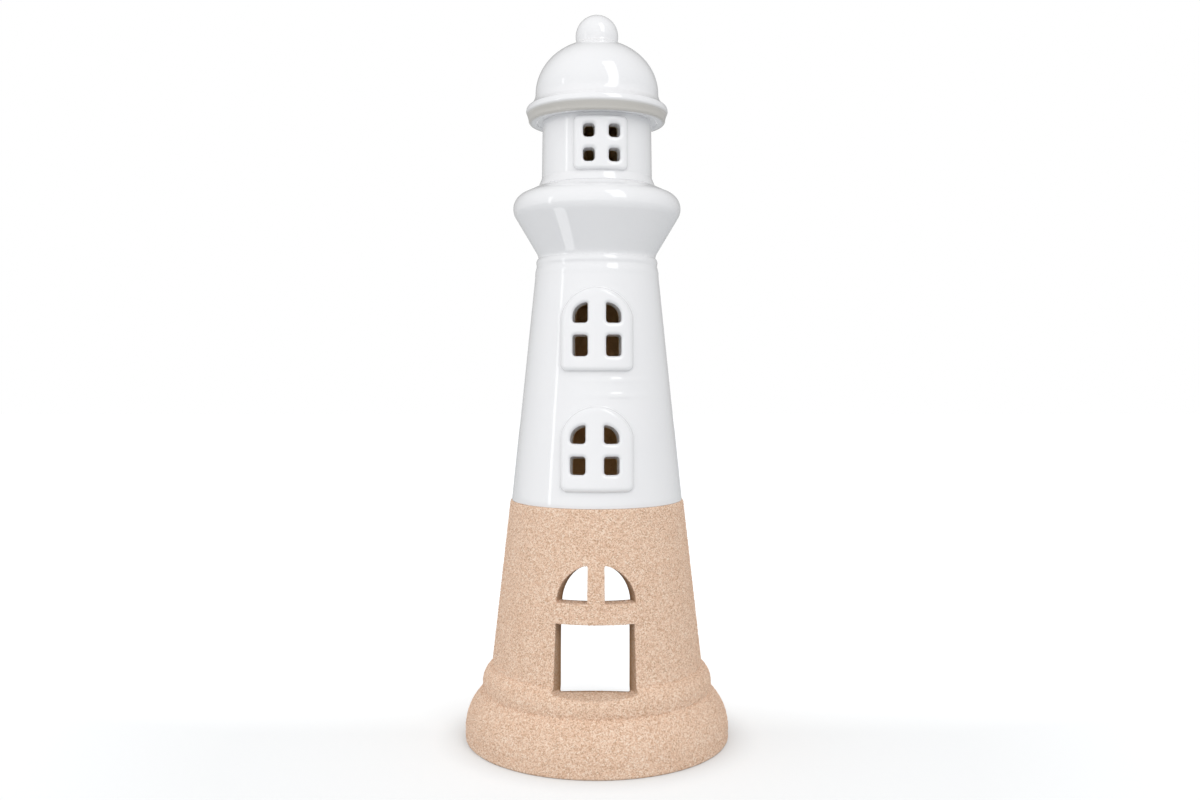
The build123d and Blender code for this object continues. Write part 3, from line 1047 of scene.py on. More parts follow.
class Potter:
    """Geometry node trees of the pieces that are turned or strewn."""

    columns = 192
    weld = 1e-3 * MM
    coated_mark = 0.12
    clear_of_table = 0.7 * MM
    full_turn: Triple = (6.283, 6.283, 6.283)
    flattest: Triple = (0.7, 0.7, 0.7)
    longest: Triple = (1.3, 1.3, 1.3)
    grain_radii: Pair = (0.13, 0.29)
    grains_on_square_mm = 1.15

    def __init__(self) -> None:
        """Build both trees."""
        self.wheel = self.wheel_tree()
        self.strew = self.strew_tree()

    def wheel_tree(self) -> bpy.types.NodeTree:
        """Build the tree that turns a section round an upright axis.

        Returns:
            The tree, whose section is a row of points in the XZ plane.
        """
        inputs = {"Section": "Geometry", "Segments": "Int", "Centre": "Vector", "Finish": "Material"}
        graph = Shaping("turned_on_the_wheel", inputs)
        given = graph.given
        section = given["Section"]
        settings = {"component": "MESH"}
        count = graph.wire("GeometryNodeAttributeDomainSize", settings, {0: section}, "Point Count")
        size = {"Size X": 1.0, "Size Y": 1.0, "Vertices X": given["Segments"] + 1, "Vertices Y": count}
        cloth = graph.wire("GeometryNodeMeshGrid", None, size, "Mesh")
        across, along = graph.split(graph.wire("GeometryNodeInputPosition"), "X", "Y")
        turn = (across + 0.5) * (2 * math.pi)
        number = graph.sum("ROUND", (along + 0.5) * (count - 1), 0.0)

        def sampled(kind: str, value: Wire) -> Wire:
            """Give a value of the section at this point's number."""
            sockets = {"Geometry": section, "Value": value, "Index": number}
            return graph.wire("GeometryNodeSampleIndex", {"data_type": kind}, sockets)

        mark = sampled("FLOAT", graph.inside_mark())
        point = sampled("FLOAT_VECTOR", graph.wire("GeometryNodeInputPosition"))
        marked = graph.stored("POINT", cloth, INSIDE, mark)
        radius, level = graph.split(point, "X", "Z")
        round_place = {
            "X": radius * graph.sum("SINE", turn, 0.0),
            "Y": radius * graph.sum("COSINE", turn, 0.0) * -1,
            "Z": level,
        }
        place = graph.wire("ShaderNodeCombineXYZ", None, round_place)
        moved = graph.wire("ShaderNodeVectorMath", {"operation": "ADD"}, {0: place, 1: given["Centre"]})
        turned = graph.wire("GeometryNodeSetPosition", None, {"Geometry": marked, "Position": moved})
        closed = graph.wire("GeometryNodeMergeByDistance", None, {"Geometry": turned, "Distance": self.weld})
        return graph.finished(closed, "Piece")

    def strew_tree(self) -> bpy.types.NodeTree:
        """Build the tree that strews single sand grains over a coat.

        Returns:
            The tree, which strews them where the coat's inside mark is near 0.
        """
        inputs = {
            "Coat": "Geometry",
            "Density": "Float",
            "Smallest": "Float",
            "Largest": "Float",
            "Seed": "Int",
            "Finish": "Material",
        }
        graph = Shaping("strewn_grains", inputs)
        given = graph.given
        seed = given["Seed"]

        def chance(number: int, kind: str, low: Feed, high: Feed) -> Wire:
            """Give each grain a value by chance.

            Args:
                number: What is added to the seed.
                kind: Type of the value.
                low: Its least.
                high: Its most.

            Returns:
                The value.
            """
            first = 0 if kind == "FLOAT_VECTOR" else 2
            sockets = {first: low, first + 1: high, 8: seed + number}
            return graph.wire("FunctionNodeRandomValue", {"data_type": kind}, sockets, first // 2)

        height = graph.split(graph.wire("GeometryNodeInputPosition"), "Z")[0]
        lifted = graph.sum("GREATER_THAN", height, self.clear_of_table)
        coated = graph.sum("LESS_THAN", graph.inside_mark(), self.coated_mark) * lifted
        sown = {"Mesh": given["Coat"], "Selection": coated, "Density": given["Density"], "Seed": seed}
        settings = {"distribute_method": "RANDOM"}
        dots = graph.wire("GeometryNodeDistributePointsOnFaces", settings, sown, "Points")
        tumble = chance(1, "FLOAT_VECTOR", (0.0, 0.0, 0.0), self.full_turn)
        girth = chance(2, "FLOAT", given["Smallest"], given["Largest"])
        shape = chance(3, "FLOAT_VECTOR", self.flattest, self.longest)
        size = graph.wire("ShaderNodeVectorMath", {"operation": "SCALE"}, {0: shape, "Scale": girth})
        ball = {"Segments": 4, "Rings": 2, "Radius": 1.0}
        crystal = graph.wire("GeometryNodeMeshUVSphere", None, ball, "Mesh")
        grains = {"Points": dots, "Instance": crystal, "Rotation": tumble, "Scale": size}
        strewn = graph.wire("GeometryNodeInstanceOnPoints", None, grains)
        toned = graph.stored("INSTANCE", strewn, TONE, chance(4, "FLOAT", 0.0, 1.0))
        return graph.finished(toned, "Grains")

    def shape(self, piece: bpy.types.Object, tree: bpy.types.NodeTree, values: dict[str, Feed]) -> None:
        """Run a tree on a piece and keep the result as its mesh.

        Args:
            piece: The piece.
            tree: The tree.
            values: Values of the tree's inputs, by name.
        """
        step = piece.modifiers.new("shape", "NODES")
        step.node_group = tree
        keys = {item.name: item.identifier for item in tree.interface.items_tree}
        for name, value in values.items():
            step[keys[name]] = value
        piece.update_tag()
        bpy.context.view_layer.update()
        depsgraph = bpy.context.evaluated_depsgraph_get()
        shaped = piece.evaluated_get(depsgraph)
        data = bpy.data.meshes.new_from_object(shaped, preserve_all_data_layers=True, depsgraph=depsgraph)
        piece.modifiers.clear()
        old = piece.data
        piece.data = data
        bpy.data.meshes.remove(old)
        data.name = piece.name

    def turned(
        self,
        name: str,
        skin: Sequence[Pair],
        hidden: Sequence[Pair],
        material: bpy.types.Material,
        closed: bool = False,
        centre: Pair = (0.0, 0.0),
        segments: int = columns,
        shade_and_bare: Callable[[Pair], float] | None = None,
    ) -> bpy.types.Object:
        """Turn a piece on the wheel.

        Args:
            name: Name of the piece.
            skin: Radius and level of the points of its skin.
            hidden: Points of its bare inside, which follow the skin's.
            material: Its finish.
            closed: Whether the section closes on itself, and not on the axis.
            centre: Where the axis stands, across and away.
            segments: Faces in one turn.
            shade_and_bare: Gives the inside mark of a point of the skin, painted shade on some and bare clay
                on others, which is 0 without it.

        Returns:
            The piece.
        """
        points = [*skin, *hidden]
        marks = [shade_and_bare(point) if shade_and_bare else 0.0 for point in skin] + [1.0] * len(hidden)
        if closed:
            points.append(points[0])
            marks.append(1.0 if hidden else 0.0)
        data = bpy.data.meshes.new(name)
        spans = [(index, index + 1) for index in range(len(points) - 1)]
        data.from_pydata([(radius * MM, 0.0, level * MM) for radius, level in points], spans, [])
        layer = data.attributes.new(INSIDE, "FLOAT", "POINT")
        layer.data.foreach_set("value", marks)
        piece = shown(name, data)
        axis = (centre[0] * MM, centre[1] * MM, 0.0)
        self.shape(piece, self.wheel, {"Segments": segments, "Centre": axis, "Finish": material})
        mesh = bmesh.new()
        mesh.from_mesh(piece.data)
        bmesh.ops.recalc_face_normals(mesh, faces=mesh.faces[:])
        mesh.to_mesh(piece.data)
        mesh.free()
        smoothed(piece.data)
        return piece

    def strewn(self, coat: bpy.types.Object, material: bpy.types.Material, seed: int) -> bpy.types.Object:
        """Strew sand grains over a coated piece.

        Args:
            coat: The coated piece, which stays as it is.
            material: Finish of the grains.
            seed: Seed of the chance.

        Returns:
            The grains as one piece.
        """
        piece = shown(f"{coat.name}_grains", coat.data.copy())
        piece.data.materials.clear()
        values = {
            "Density": self.grains_on_square_mm / MM**2,
            "Smallest": self.grain_radii[0] * MM,
            "Largest": self.grain_radii[1] * MM,
            "Seed": seed,
            "Finish": material,
        }
        self.shape(piece, self.strew, values)
        return piece


# Round walls with openings


@dataclass
class Opening:
    """An opening through a round wall.

    Its outline runs anticlockwise, as seen from outside at the front. The first number of a point is a
    length round the wall for radial jambs, and a length across it for parallel ones. A callable gives the
    mark of the shade painted on its reveals at a point of the outline, and a bend moves that point at a
    share of the wall's depth.
    """

    outline: list[Pair]
    jambs: Jambs
    side: Side = Side.FRONT
    turn: float = 0.0
    edge: float = 0.35
    inner_edge: float = 0.4
    draft: float = 0.0
    shade_and_bare: Callable[[Pair], float] | None = None
    bend: Callable[[Pair, float], Pair] | None = None


@dataclass
class RoundWall:
    """A round wall drawn by the sections of its two faces, from the bottom up.

    Its flat points are lengths round the wall at a reference radius, and levels. Dense holds two flat
    corners and a spacing for each region of the outer face with finer points.
    """

    outer: list[Pair]
    inner: list[Pair]
    openings: list[Opening]
    reference: float
    columns: int = 176
    swell: Callable[[float, float], float] | None = None
    dense: tuple[tuple[Pair, Pair, float], ...] = ()
    turns: int = 5
    reveal_shares: tuple[float, ...] = (0.06, 0.2, 0.4, 0.6, 0.8)
    hole_margin: float = 0.55
    start_angle: float = -math.pi / 2

    def radius(self, face: list[Pair], level: float) -> float:
        """Give a face's radius at a level."""
        return float(np.interp(level, [point[1] for point in face], [point[0] for point in face]))

    def lift(self, angle: float, level: float) -> float:
        """Give how far the outer face stands proud of its section at a place."""
        return self.swell(angle * self.reference, level) if self.swell else 0.0

    def at(self, angle: float, radius: float, level: float) -> Triple:
        """Give the place in space at an angle, a radius and a level."""
        return (radius * math.sin(angle), -radius * math.cos(angle), level)

    def angle(self, opening: Opening, across: float, radius: float) -> float:
        """Give the angle of a point of an opening's outline on a face.

        Args:
            opening: The opening.
            across: First number of the point.
            radius: Radius of the face there.

        Returns:
            The angle, in radians.
        """
        middle = math.radians(opening.side.value + opening.turn)
        if opening.jambs is Jambs.RADIAL:
            return middle + across / self.reference
        spread = math.asin(max(-1.0, min(1.0, across / radius)))
        return middle - spread if opening.side is Side.BACK else middle + spread

    def rings(self, opening: Opening) -> list[Triple]:
        """List the rings of an opening's edge.

        Args:
            opening: The opening.

        Returns:
            Offset, share of the wall's depth and pull inwards of each ring.
        """
        quarters = [math.pi / 2 * step / self.turns for step in range(self.turns + 1)]
        edge = opening.edge
        back = opening.inner_edge
        rings = [(edge * (1 - math.sin(turn)), 0.0, edge * (1 - math.cos(turn))) for turn in quarters]
        for share in self.reveal_shares:
            rings.append((-opening.draft * share, share, edge * (1 - share) - back * share))
        for turn in quarters:
            rings.append((back * (1 - math.cos(turn)) - opening.draft, 1.0, -back * (1 - math.sin(turn))))
        return rings

    def lined(self, skin: Skin, opening: Opening) -> tuple[Loop, Loop]:
        """Line an opening from face to face.

        Args:
            skin: The mesh that it is drawn on.
            opening: The opening.

        Returns:
            Its row on the outer face and its row on the inner one.
        """
        ends = []
        for offset, share, pull in self.rings(opening):
            flat = []
            places = []
            marks = []
            for spot in widened(opening.outline, offset):
                across, level = opening.bend(spot, share) if opening.bend else spot
                # Reveals are painted darker with depth as shade, from half the given mark near the face to
                # all of it at the inner face.
                shade_and_bare = opening.shade_and_bare(spot) if opening.shade_and_bare and share else 0.0
                marks.append(max(shade_and_bare * (1 + share) / 2, bared(share)))
                out = self.radius(self.outer, level)
                deep = self.radius(self.inner, level)
                radius = out + (deep - out) * share - pull
                angle = self.angle(opening, across, radius)
                radius += self.lift(angle, level) * (1 - share)
                flat.append((angle * self.reference, level))
                places.append(self.at(angle, radius, level))
            ends.append((flat, skin.row(places, marks)))
        skin.band([row for _, row in ends])
        return ends[0], ends[-1]

    def face(self, skin: Skin, holes: list[Loop], proud: bool) -> tuple[list[int], list[int]]:
        """Lay one face of the wall.

        Args:
            skin: The mesh that it is drawn on.
            holes: Flat outlines and rows of the openings in it.
            proud: Whether this is the outer face, with its swell and dense regions, or the bare inner one.

        Returns:
            The numbers of its lowest and its highest row.
        """
        section = self.outer if proud else self.inner
        mark = 0.0 if proud else 1.0

        def place(spot: Pair) -> Triple:
            """Give the place in space of a flat point of this face."""
            lift = self.lift(spot[0] / self.reference, spot[1]) if proud else 0.0
            return self.at(spot[0] / self.reference, self.radius(section, spot[1]) + lift, spot[1])

        turns = [self.start_angle + 2 * math.pi * step / self.columns for step in range(self.columns + 1)]
        steps = [turn * self.reference for turn in turns]
        levels = [point[1] for point in section]
        bottom = [(step, levels[0]) for step in steps]
        top = [(step, levels[-1]) for step in steps]
        right = [(steps[-1], level) for level in levels[1:-1]]
        left = [(steps[0], level) for level in levels[1:-1]]
        border = [*bottom, *right, *reversed(top), *reversed(left)]
        row = skin.row([place(spot) for spot in border], mark)
        start = len(bottom) + len(right)
        high = list(reversed(row[start : start + len(top)]))
        loose = np.array([(step, level) for level in levels[1:-1] for step in steps[1:-1]])
        for corner, other, spacing in self.dense if proud else ():
            box = (loose > np.array(corner)) & (loose < np.array(other))
            loose = np.vstack((loose[~box.all(axis=1)], grid(corner, other, spacing)))
        for flat, _ in holes:
            loose = loose[outside(loose, flat, self.hole_margin)]
        skin.fill([(border, row), *holes], loose, place, mark)
        return row[: len(bottom)], high

    def skin(self) -> Skin:
        """Draw the whole wall as a closed mesh.

        Returns:
            Its points and faces.
        """
        skin = Skin()
        lined = [self.lined(skin, opening) for opening in self.openings]
        low, high = self.face(skin, [ends[0] for ends in lined], True)
        inner_low, inner_high = self.face(skin, [ends[1] for ends in lined], False)
        skin.join(low, inner_low, False)
        skin.join(high, inner_high, False)
        return skin


# Sub-assemblies


@dataclass
class Assembly:
    """A sub-assembly, with the finishes that dress it and the trees that shape it."""

    finishes: Finishes
    potter: Potter


@dataclass
class SandBase(Assembly):
    """Sand-coated plinth and lower tower, with the doorway, its fanlight and the loading arch.

    Pairs of a radius and a level are points of its section. A taper is the share by which the doorway
    narrows at its sill, on the outer face and from there to the inner one. Sill outer and sill inner are
    how far the sill stands over its level on each face at the jambs, and how much more in its middle.
    Corners are roundings: of the doorway at its sill and its head, and of a fanlight pane at the mullion
    and at its other corners.
    """

    base_radius: float = 54.4
    base_round: float = 0.8
    bead_straight: float = 5.5
    bead_span: float = 2.4
    cone_span: float = 2.1
    lower_bead: Pair = (48.1, 19.2)
    upper_bead: Pair = (47.0, 20.2)
    foot: Pair = (43.5, 30.4)
    seam: Pair = (35.9, 98.1)
    seam_round: float = 0.5
    lower_bulge: float = 1.5
    upper_bulge: float = 1.8
    wall: float = 5.6
    floor_level: float = 3.5
    floor_lap: float = 0.6
    floor_gap: float = 0.02
    floor_step: float = 9.0
    floor_columns: int = 96
    pan: Pair = (45.8, 6.5)
    pan_corner: float = 42.8
    reference: float = 42.0
    jamb_angle: float = 22.1
    fan_angle: float = 23.0
    door_turn: float = -1.1
    fan_turn: float = -0.5
    door_draft: float = 0.1
    fan_draft: float = 0.35
    door_step: float = 0.5
    door_corners: Pair = (0.7, 0.4)
    fan_corners: Pair = (0.7, 0.5)
    door_taper: Pair = (0.02, 0.065)
    # Reveals are painted dark as shade, except on sills, which face up into the light.
    shaded_reveal_mark: float = 0.85
    sill_shade_mark: float = 0.08
    sill: float = 27.9
    sill_reach: float = 3.0
    sill_outer: Pair = (0.5, -1.35)
    sill_inner: Pair = (0.1, 0.9)
    sill_flat: float = 0.4
    sill_fade: float = 0.8
    fan_foot: float = 1.5
    transom: Pair = (54.5, 62.3)
    fanlight_rise: float = 14.9
    mullion: float = 7.1
    bar_proud: float = 0.35
    bar_lap: float = 1.2
    bar_fade: float = 0.9
    bar_region: tuple[Pair, Pair, float] = ((-21.0, 49.0), (21.0, 82.0), 0.85)
    rear_half: float = 23.5
    rear_spring: float = 45.5
    rear_fall: float = 1.6
    rear_step: float = 1.0
    rear_corner: float = 0.6
    rear_reach: float = 1.0
    tower_seed: int = 11
    plinth_seed: int = 23

    def outer_section(self) -> list[Pair]:
        """Draw the outer face from the foot to the seam.

        Returns:
            Radius and level of its points.
        """
        radius = self.base_radius
        turn = self.base_round
        foot = quarter((radius - turn, 0.0), (radius, 0.0), (radius, turn), 4)
        upright = divided([(radius, turn), (radius, self.bead_straight)], self.bead_span)
        lower = bowed((radius, self.bead_straight), self.lower_bead, self.lower_bulge, 14)
        upper = bowed(self.upper_bead, self.foot, self.upper_bulge, 10)
        rise = (self.seam[0] - self.foot[0]) / (self.seam[1] - self.foot[1])
        edge = self.seam_round
        brow = (self.seam[0] - rise * edge, self.seam[1] - edge)
        cone = divided([self.foot, brow], self.cone_span)
        top = quarter(brow, self.seam, (self.seam[0] - edge, self.seam[1]), 4)
        return [*foot, *upright[1:], *lower[1:], *upper, *cone[1:], *top[1:]]

    def inner_section(self) -> list[Pair]:
        """Draw the inner face from the table to the seam.

        Returns:
            Radius and level of its points.
        """
        levels = (self.upper_bead, self.foot, self.seam)
        wall = [(radius - self.wall, level) for radius, level in levels]
        pan = [(self.pan_corner, 0.0), (self.pan_corner, self.floor_level), self.pan]
        return divided([*pan, *wall], INNER_STEP)

    def door_bend(self, spot: Pair, share: float) -> Pair:
        """Draw the doorway's jambs in towards the sill, and let the sill fall outwards in its middle.

        Args:
            spot: Point of the doorway's outline.
            share: Share of the wall's depth.

        Returns:
            The point's place at that depth.
        """
        low = self.transom[0]
        down = (low - spot[1]) / (low - self.sill)
        across = spot[0] * (1 - (self.door_taper[0] + self.door_taper[1] * share) * down)
        middle = 1 - (spot[0] / (math.radians(self.jamb_angle) * self.reference)) ** 2
        near = clamped((self.sill + self.sill_reach - spot[1]) / self.sill_reach)
        outer = self.sill_outer[0] + self.sill_outer[1] * middle
        inner = self.sill_inner[0] + self.sill_inner[1] * middle
        return (across, spot[1] + near * (outer + (inner - outer) * share))

    def doorway(self) -> list[Opening]:
        """Draw the doorway and the two panes of its fanlight.

        Returns:
            The three openings.
        """
        half = math.radians(self.jamb_angle) * self.reference
        wide = math.radians(self.fan_angle) * self.reference
        low, high = self.transom
        foot, head = self.door_corners
        sill = [(-half, self.sill, foot), (half, self.sill, foot)]
        outline = soften([*sill, (half, low, head), (-half, low, head)], True)
        bar = self.mullion / 2
        stop = math.degrees(math.acos(bar / wide))
        curve = swept((0.0, high), (wide, self.fanlight_rise), 0.0, stop, 10)
        inner, outer = self.fan_corners
        crown = (*curve[-1], outer)
        pane = soften([(bar, high, inner), (wide, high, outer), *sharp(curve[1:-1]), crown], True)

        def cut(shape: list[Pair], turn: float, draft: float) -> Opening:
            """Cut an opening of some shape, turn and draft."""
            even = spaced(shape, self.door_step)
            return Opening(even, Jambs.RADIAL, turn=turn, draft=draft, shade_and_bare=self.shade_and_bare)

        door = cut(outline, self.door_turn, self.door_draft)
        door.bend = self.door_bend
        return [door, *[cut(shape, self.fan_turn, self.fan_draft) for shape in (pane, mirrored(pane))]]

    def shade_and_bare(self, spot: Pair) -> float:
        """Give the mark of the shade painted on the reveals, which is low on a sill that faces up into the
        light.

        Args:
            spot: Point of an opening's outline.

        Returns:
            The mark.
        """
        low, high = self.transom
        over = min(abs(spot[1] - sill) for sill in (self.sill, high, self.floor_level))
        flat = spot[1] < low or spot[1] > high + self.fan_foot or over < self.sill_flat
        share = clamped((over - self.sill_flat) / self.sill_fade) if flat else 1.0
        return self.sill_shade_mark + (self.shaded_reveal_mark - self.sill_shade_mark) * share

    def threshold(self, spot: Pair, share: float) -> Pair:
        """Let the loading arch's threshold fall outwards, with the arguments and result of door_bend."""
        near = clamped(self.floor_level + self.rear_reach - spot[1])
        return (spot[0], spot[1] - self.rear_fall * near * (1 - share))

    def loading_arch(self) -> Opening:
        """Draw the loading arch at the back.

        Returns:
            The opening.
        """
        half = self.rear_half
        top = arc((0.0, self.rear_spring), half, 0.0, 180.0, 36)
        corner = self.rear_corner
        corners = [(-half, self.floor_level, corner), (half, self.floor_level, corner)]
        outline = spaced(soften([*corners, *sharp(top)], True), self.rear_step)
        return Opening(outline, Jambs.PARALLEL, Side.BACK, shade_and_bare=self.shade_and_bare, bend=self.threshold)

    def bars(self, along: float, level: float) -> float:
        """Give how far the transom and the mullion stand proud.

        Args:
            along: Length round the wall.
            level: Level on the wall.

        Returns:
            The height.
        """
        half = math.radians(self.jamb_angle) * self.reference
        along -= math.radians(self.fan_turn) * self.reference
        low, high = self.transom

        def within(value: float, limit: float) -> float:
            """Fade from 1 inside a limit to 0 a little past it."""
            share = clamped((limit + self.bar_fade - abs(value)) / self.bar_fade)
            return share * share * (3 - 2 * share)

        beam = within(along, half + self.bar_lap) * within(level - (low + high) / 2, (high - low) / 2)
        middle = high + self.fanlight_rise / 2
        reach = self.fanlight_rise / 2 + self.bar_lap
        post = within(along, self.mullion / 2) * within(level - middle, reach)
        return self.bar_proud * max(beam, post)

    def build(self) -> None:
        """Build and dress the plinth, the lower tower and the grains on them."""
        wall = RoundWall(
            outer=self.outer_section(),
            inner=self.inner_section(),
            openings=[*self.doorway(), self.loading_arch()],
            reference=self.reference,
            swell=self.bars,
            dense=(self.bar_region,),
        )
        skin = wall.skin()
        tower_mesh = skin.bare()
        cut_off(tower_mesh, self.foot[1], True)
        tower = stood("sand_tower", tower_mesh, self.finishes.sand)
        carried(tower, Body.TOWER, Slot.SAND, ("lower_tower", "door_transom", "fanlight_mullion"))
        rim = self.pan_corner + self.floor_lap
        gap = self.floor_gap
        top = self.floor_level - gap
        count = self.floor_columns
        rows = []
        pad = divided([(0.0, gap), (rim, gap), (rim, top), (0.0, top)], self.floor_step)
        for radius, level in pad[1:-1]:
            rows.append([wall.at(2 * math.pi * step / count, radius, level) for step in range(count)])
        skin.tube(rows, 1.0)
        plinth_mesh = skin.bare()
        cut_off(plinth_mesh, self.foot[1], False)
        plinth = stood("sand_plinth", plinth_mesh, self.finishes.sand)
        carried(plinth, Body.TOWER, Slot.SAND, ("plinth",))
        for coat, seed in ((tower, self.tower_seed), (plinth, self.plinth_seed)):
            grains = self.potter.strewn(coat, self.finishes.grain, seed)
            carried(grains, Body.TOWER, Slot.SAND)


@dataclass
class WindowPanel:
    """A raised window panel with four panes, pressed round the wall behind it."""

    name: str
    node: str
    glaze: bpy.types.Material
    outline: list[Pair]
    panes: list[list[Pair]]
    base: float
    wall: Callable[[float], float]
    bore: Callable[[float], float]
    proud: float
    turn: float = 0.0
    round_edge: float = 1.8
    cove: float = 0.7
    inset: float = 0.15
    sunk: float = 0.03
    cove_lap: float = 0.1
    back_inset: float = 0.3
    outline_step: float = 0.6
    pane_edge: float = 1.5
    pane_draft: float = 0.3
    pane_lean: float = 0.066
    pane_sink: float = 0.0
    pane_step: float = 0.4
    face_step: float = 1.1
    rim_margin: float = 0.45
    hole_margin: float = 0.35

    def place(self, spot: Pair, radius: float) -> Triple:
        """Set a flat point on a round face.

        Args:
            spot: The point, across the panel and above its base.
            radius: Radius of the face.

        Returns:
            Its place.
        """
        turn = math.radians(self.turn)
        out = math.sqrt(radius**2 - spot[0] ** 2)
        across = spot[0] * math.cos(turn) + out * math.sin(turn)
        away = spot[0] * math.sin(turn) - out * math.cos(turn)
        return (across, away, self.base + spot[1])

    def front(self, spot: Pair, height: float) -> Triple:
        """Set a flat point at a height over the wall."""
        return self.place(spot, self.wall(self.base + spot[1]) + height)

    def between(self, spot: Pair, share: float) -> Triple:
        """Set a flat point between the panel's face and the bore.

        Args:
            spot: The point.
            share: Share of the way to the bore.

        Returns:
            Its place.
        """
        level = self.base + spot[1]
        face = self.wall(level) + self.proud - self.pane_edge
        return self.place(spot, face + (self.bore(level) - face) * share)

    def rows(
        self,
        skin: Skin,
        outline: list[Pair],
        front: Sequence[Pair],
        through: Sequence[Triple],
        lean: float = 0.0,
        sink: float = 0.0,
    ) -> tuple[Loop, Loop]:
        """Lay rows along an outline, from the panel's face to its back.

        Args:
            skin: The mesh that they are drawn on.
            outline: Even points of the outline.
            front: Offset and height of each row in front of the wall.
            through: Offset, share of the way to the bore and inside mark of each row behind them.
            lean: Share by which the rows close in on the panel's middle on their way to the bore.
            sink: How far the rows sink on that way.

        Returns:
            The first row and the last.
        """
        ends = []
        for offset, height in front:
            flat = widened(outline, offset)
            ends.append((flat, skin.row([self.front(spot, height) for spot in flat], 0.0)))
        for offset, share, mark in through:
            flat = [(x * (1 - lean * share), y - sink * share) for x, y in widened(outline, offset)]
            ends.append((flat, skin.row([self.between(spot, share) for spot in flat], mark)))
        skin.band([row for _, row in ends])
        return ends[0], ends[-1]

    def build(self) -> None:
        """Build and dress the panel."""
        skin = Skin()
        edge = -self.inset
        cove = self.cove
        lap = cove - self.cove_lap
        proud = self.proud
        top = quarter((-self.round_edge + edge, proud), (edge, proud), (edge, cove), 8)
        foot = quarter((edge, cove), (edge, -self.sunk), (lap, -self.sunk), 5)
        outline = spaced(self.outline, self.outline_step)
        behind = [(lap, 0.25, 0.0), (-self.back_inset, 0.4, 0.5), (-self.back_inset, 1.0, 1.0)]
        rim, back_rim = self.rows(skin, outline, [*top, *foot[1:]], behind)
        lip = quarter((self.pane_edge, proud), (0.0, proud), (0.0, proud - self.pane_edge), 8)
        reveal = []
        for share in (0.2, 0.4, 0.6, 0.8, 1.0):
            reveal.append((-self.pane_draft * share, share, max(0.0, bared(share))))
        holes = []
        for pane in self.panes:
            even = spaced(pane, self.pane_step)
            holes.append(self.rows(skin, even, lip, reveal, self.pane_lean, self.pane_sink))
        across, up = zip(*outline)
        loose = grid((min(across), min(up)), (max(across), max(up)), self.face_step)
        face = loose[inside(loose, rim[0], self.rim_margin)]
        back = loose[inside(loose, back_rim[0], self.rim_margin)]
        for first, last in holes:
            face = face[outside(face, first[0], self.hole_margin)]
            back = back[outside(back, last[0], self.hole_margin)]
        skin.fill([rim, *[hole[0] for hole in holes]], face, lambda spot: self.front(spot, proud), 0.0)
        skin.fill([back_rim, *[hole[1] for hole in holes]], back, lambda spot: self.between(spot, 1.0), 1.0)
        carried(stood(self.name, skin.bare(), self.glaze), Body.TOWER, Slot.GLAZE, (self.node,))


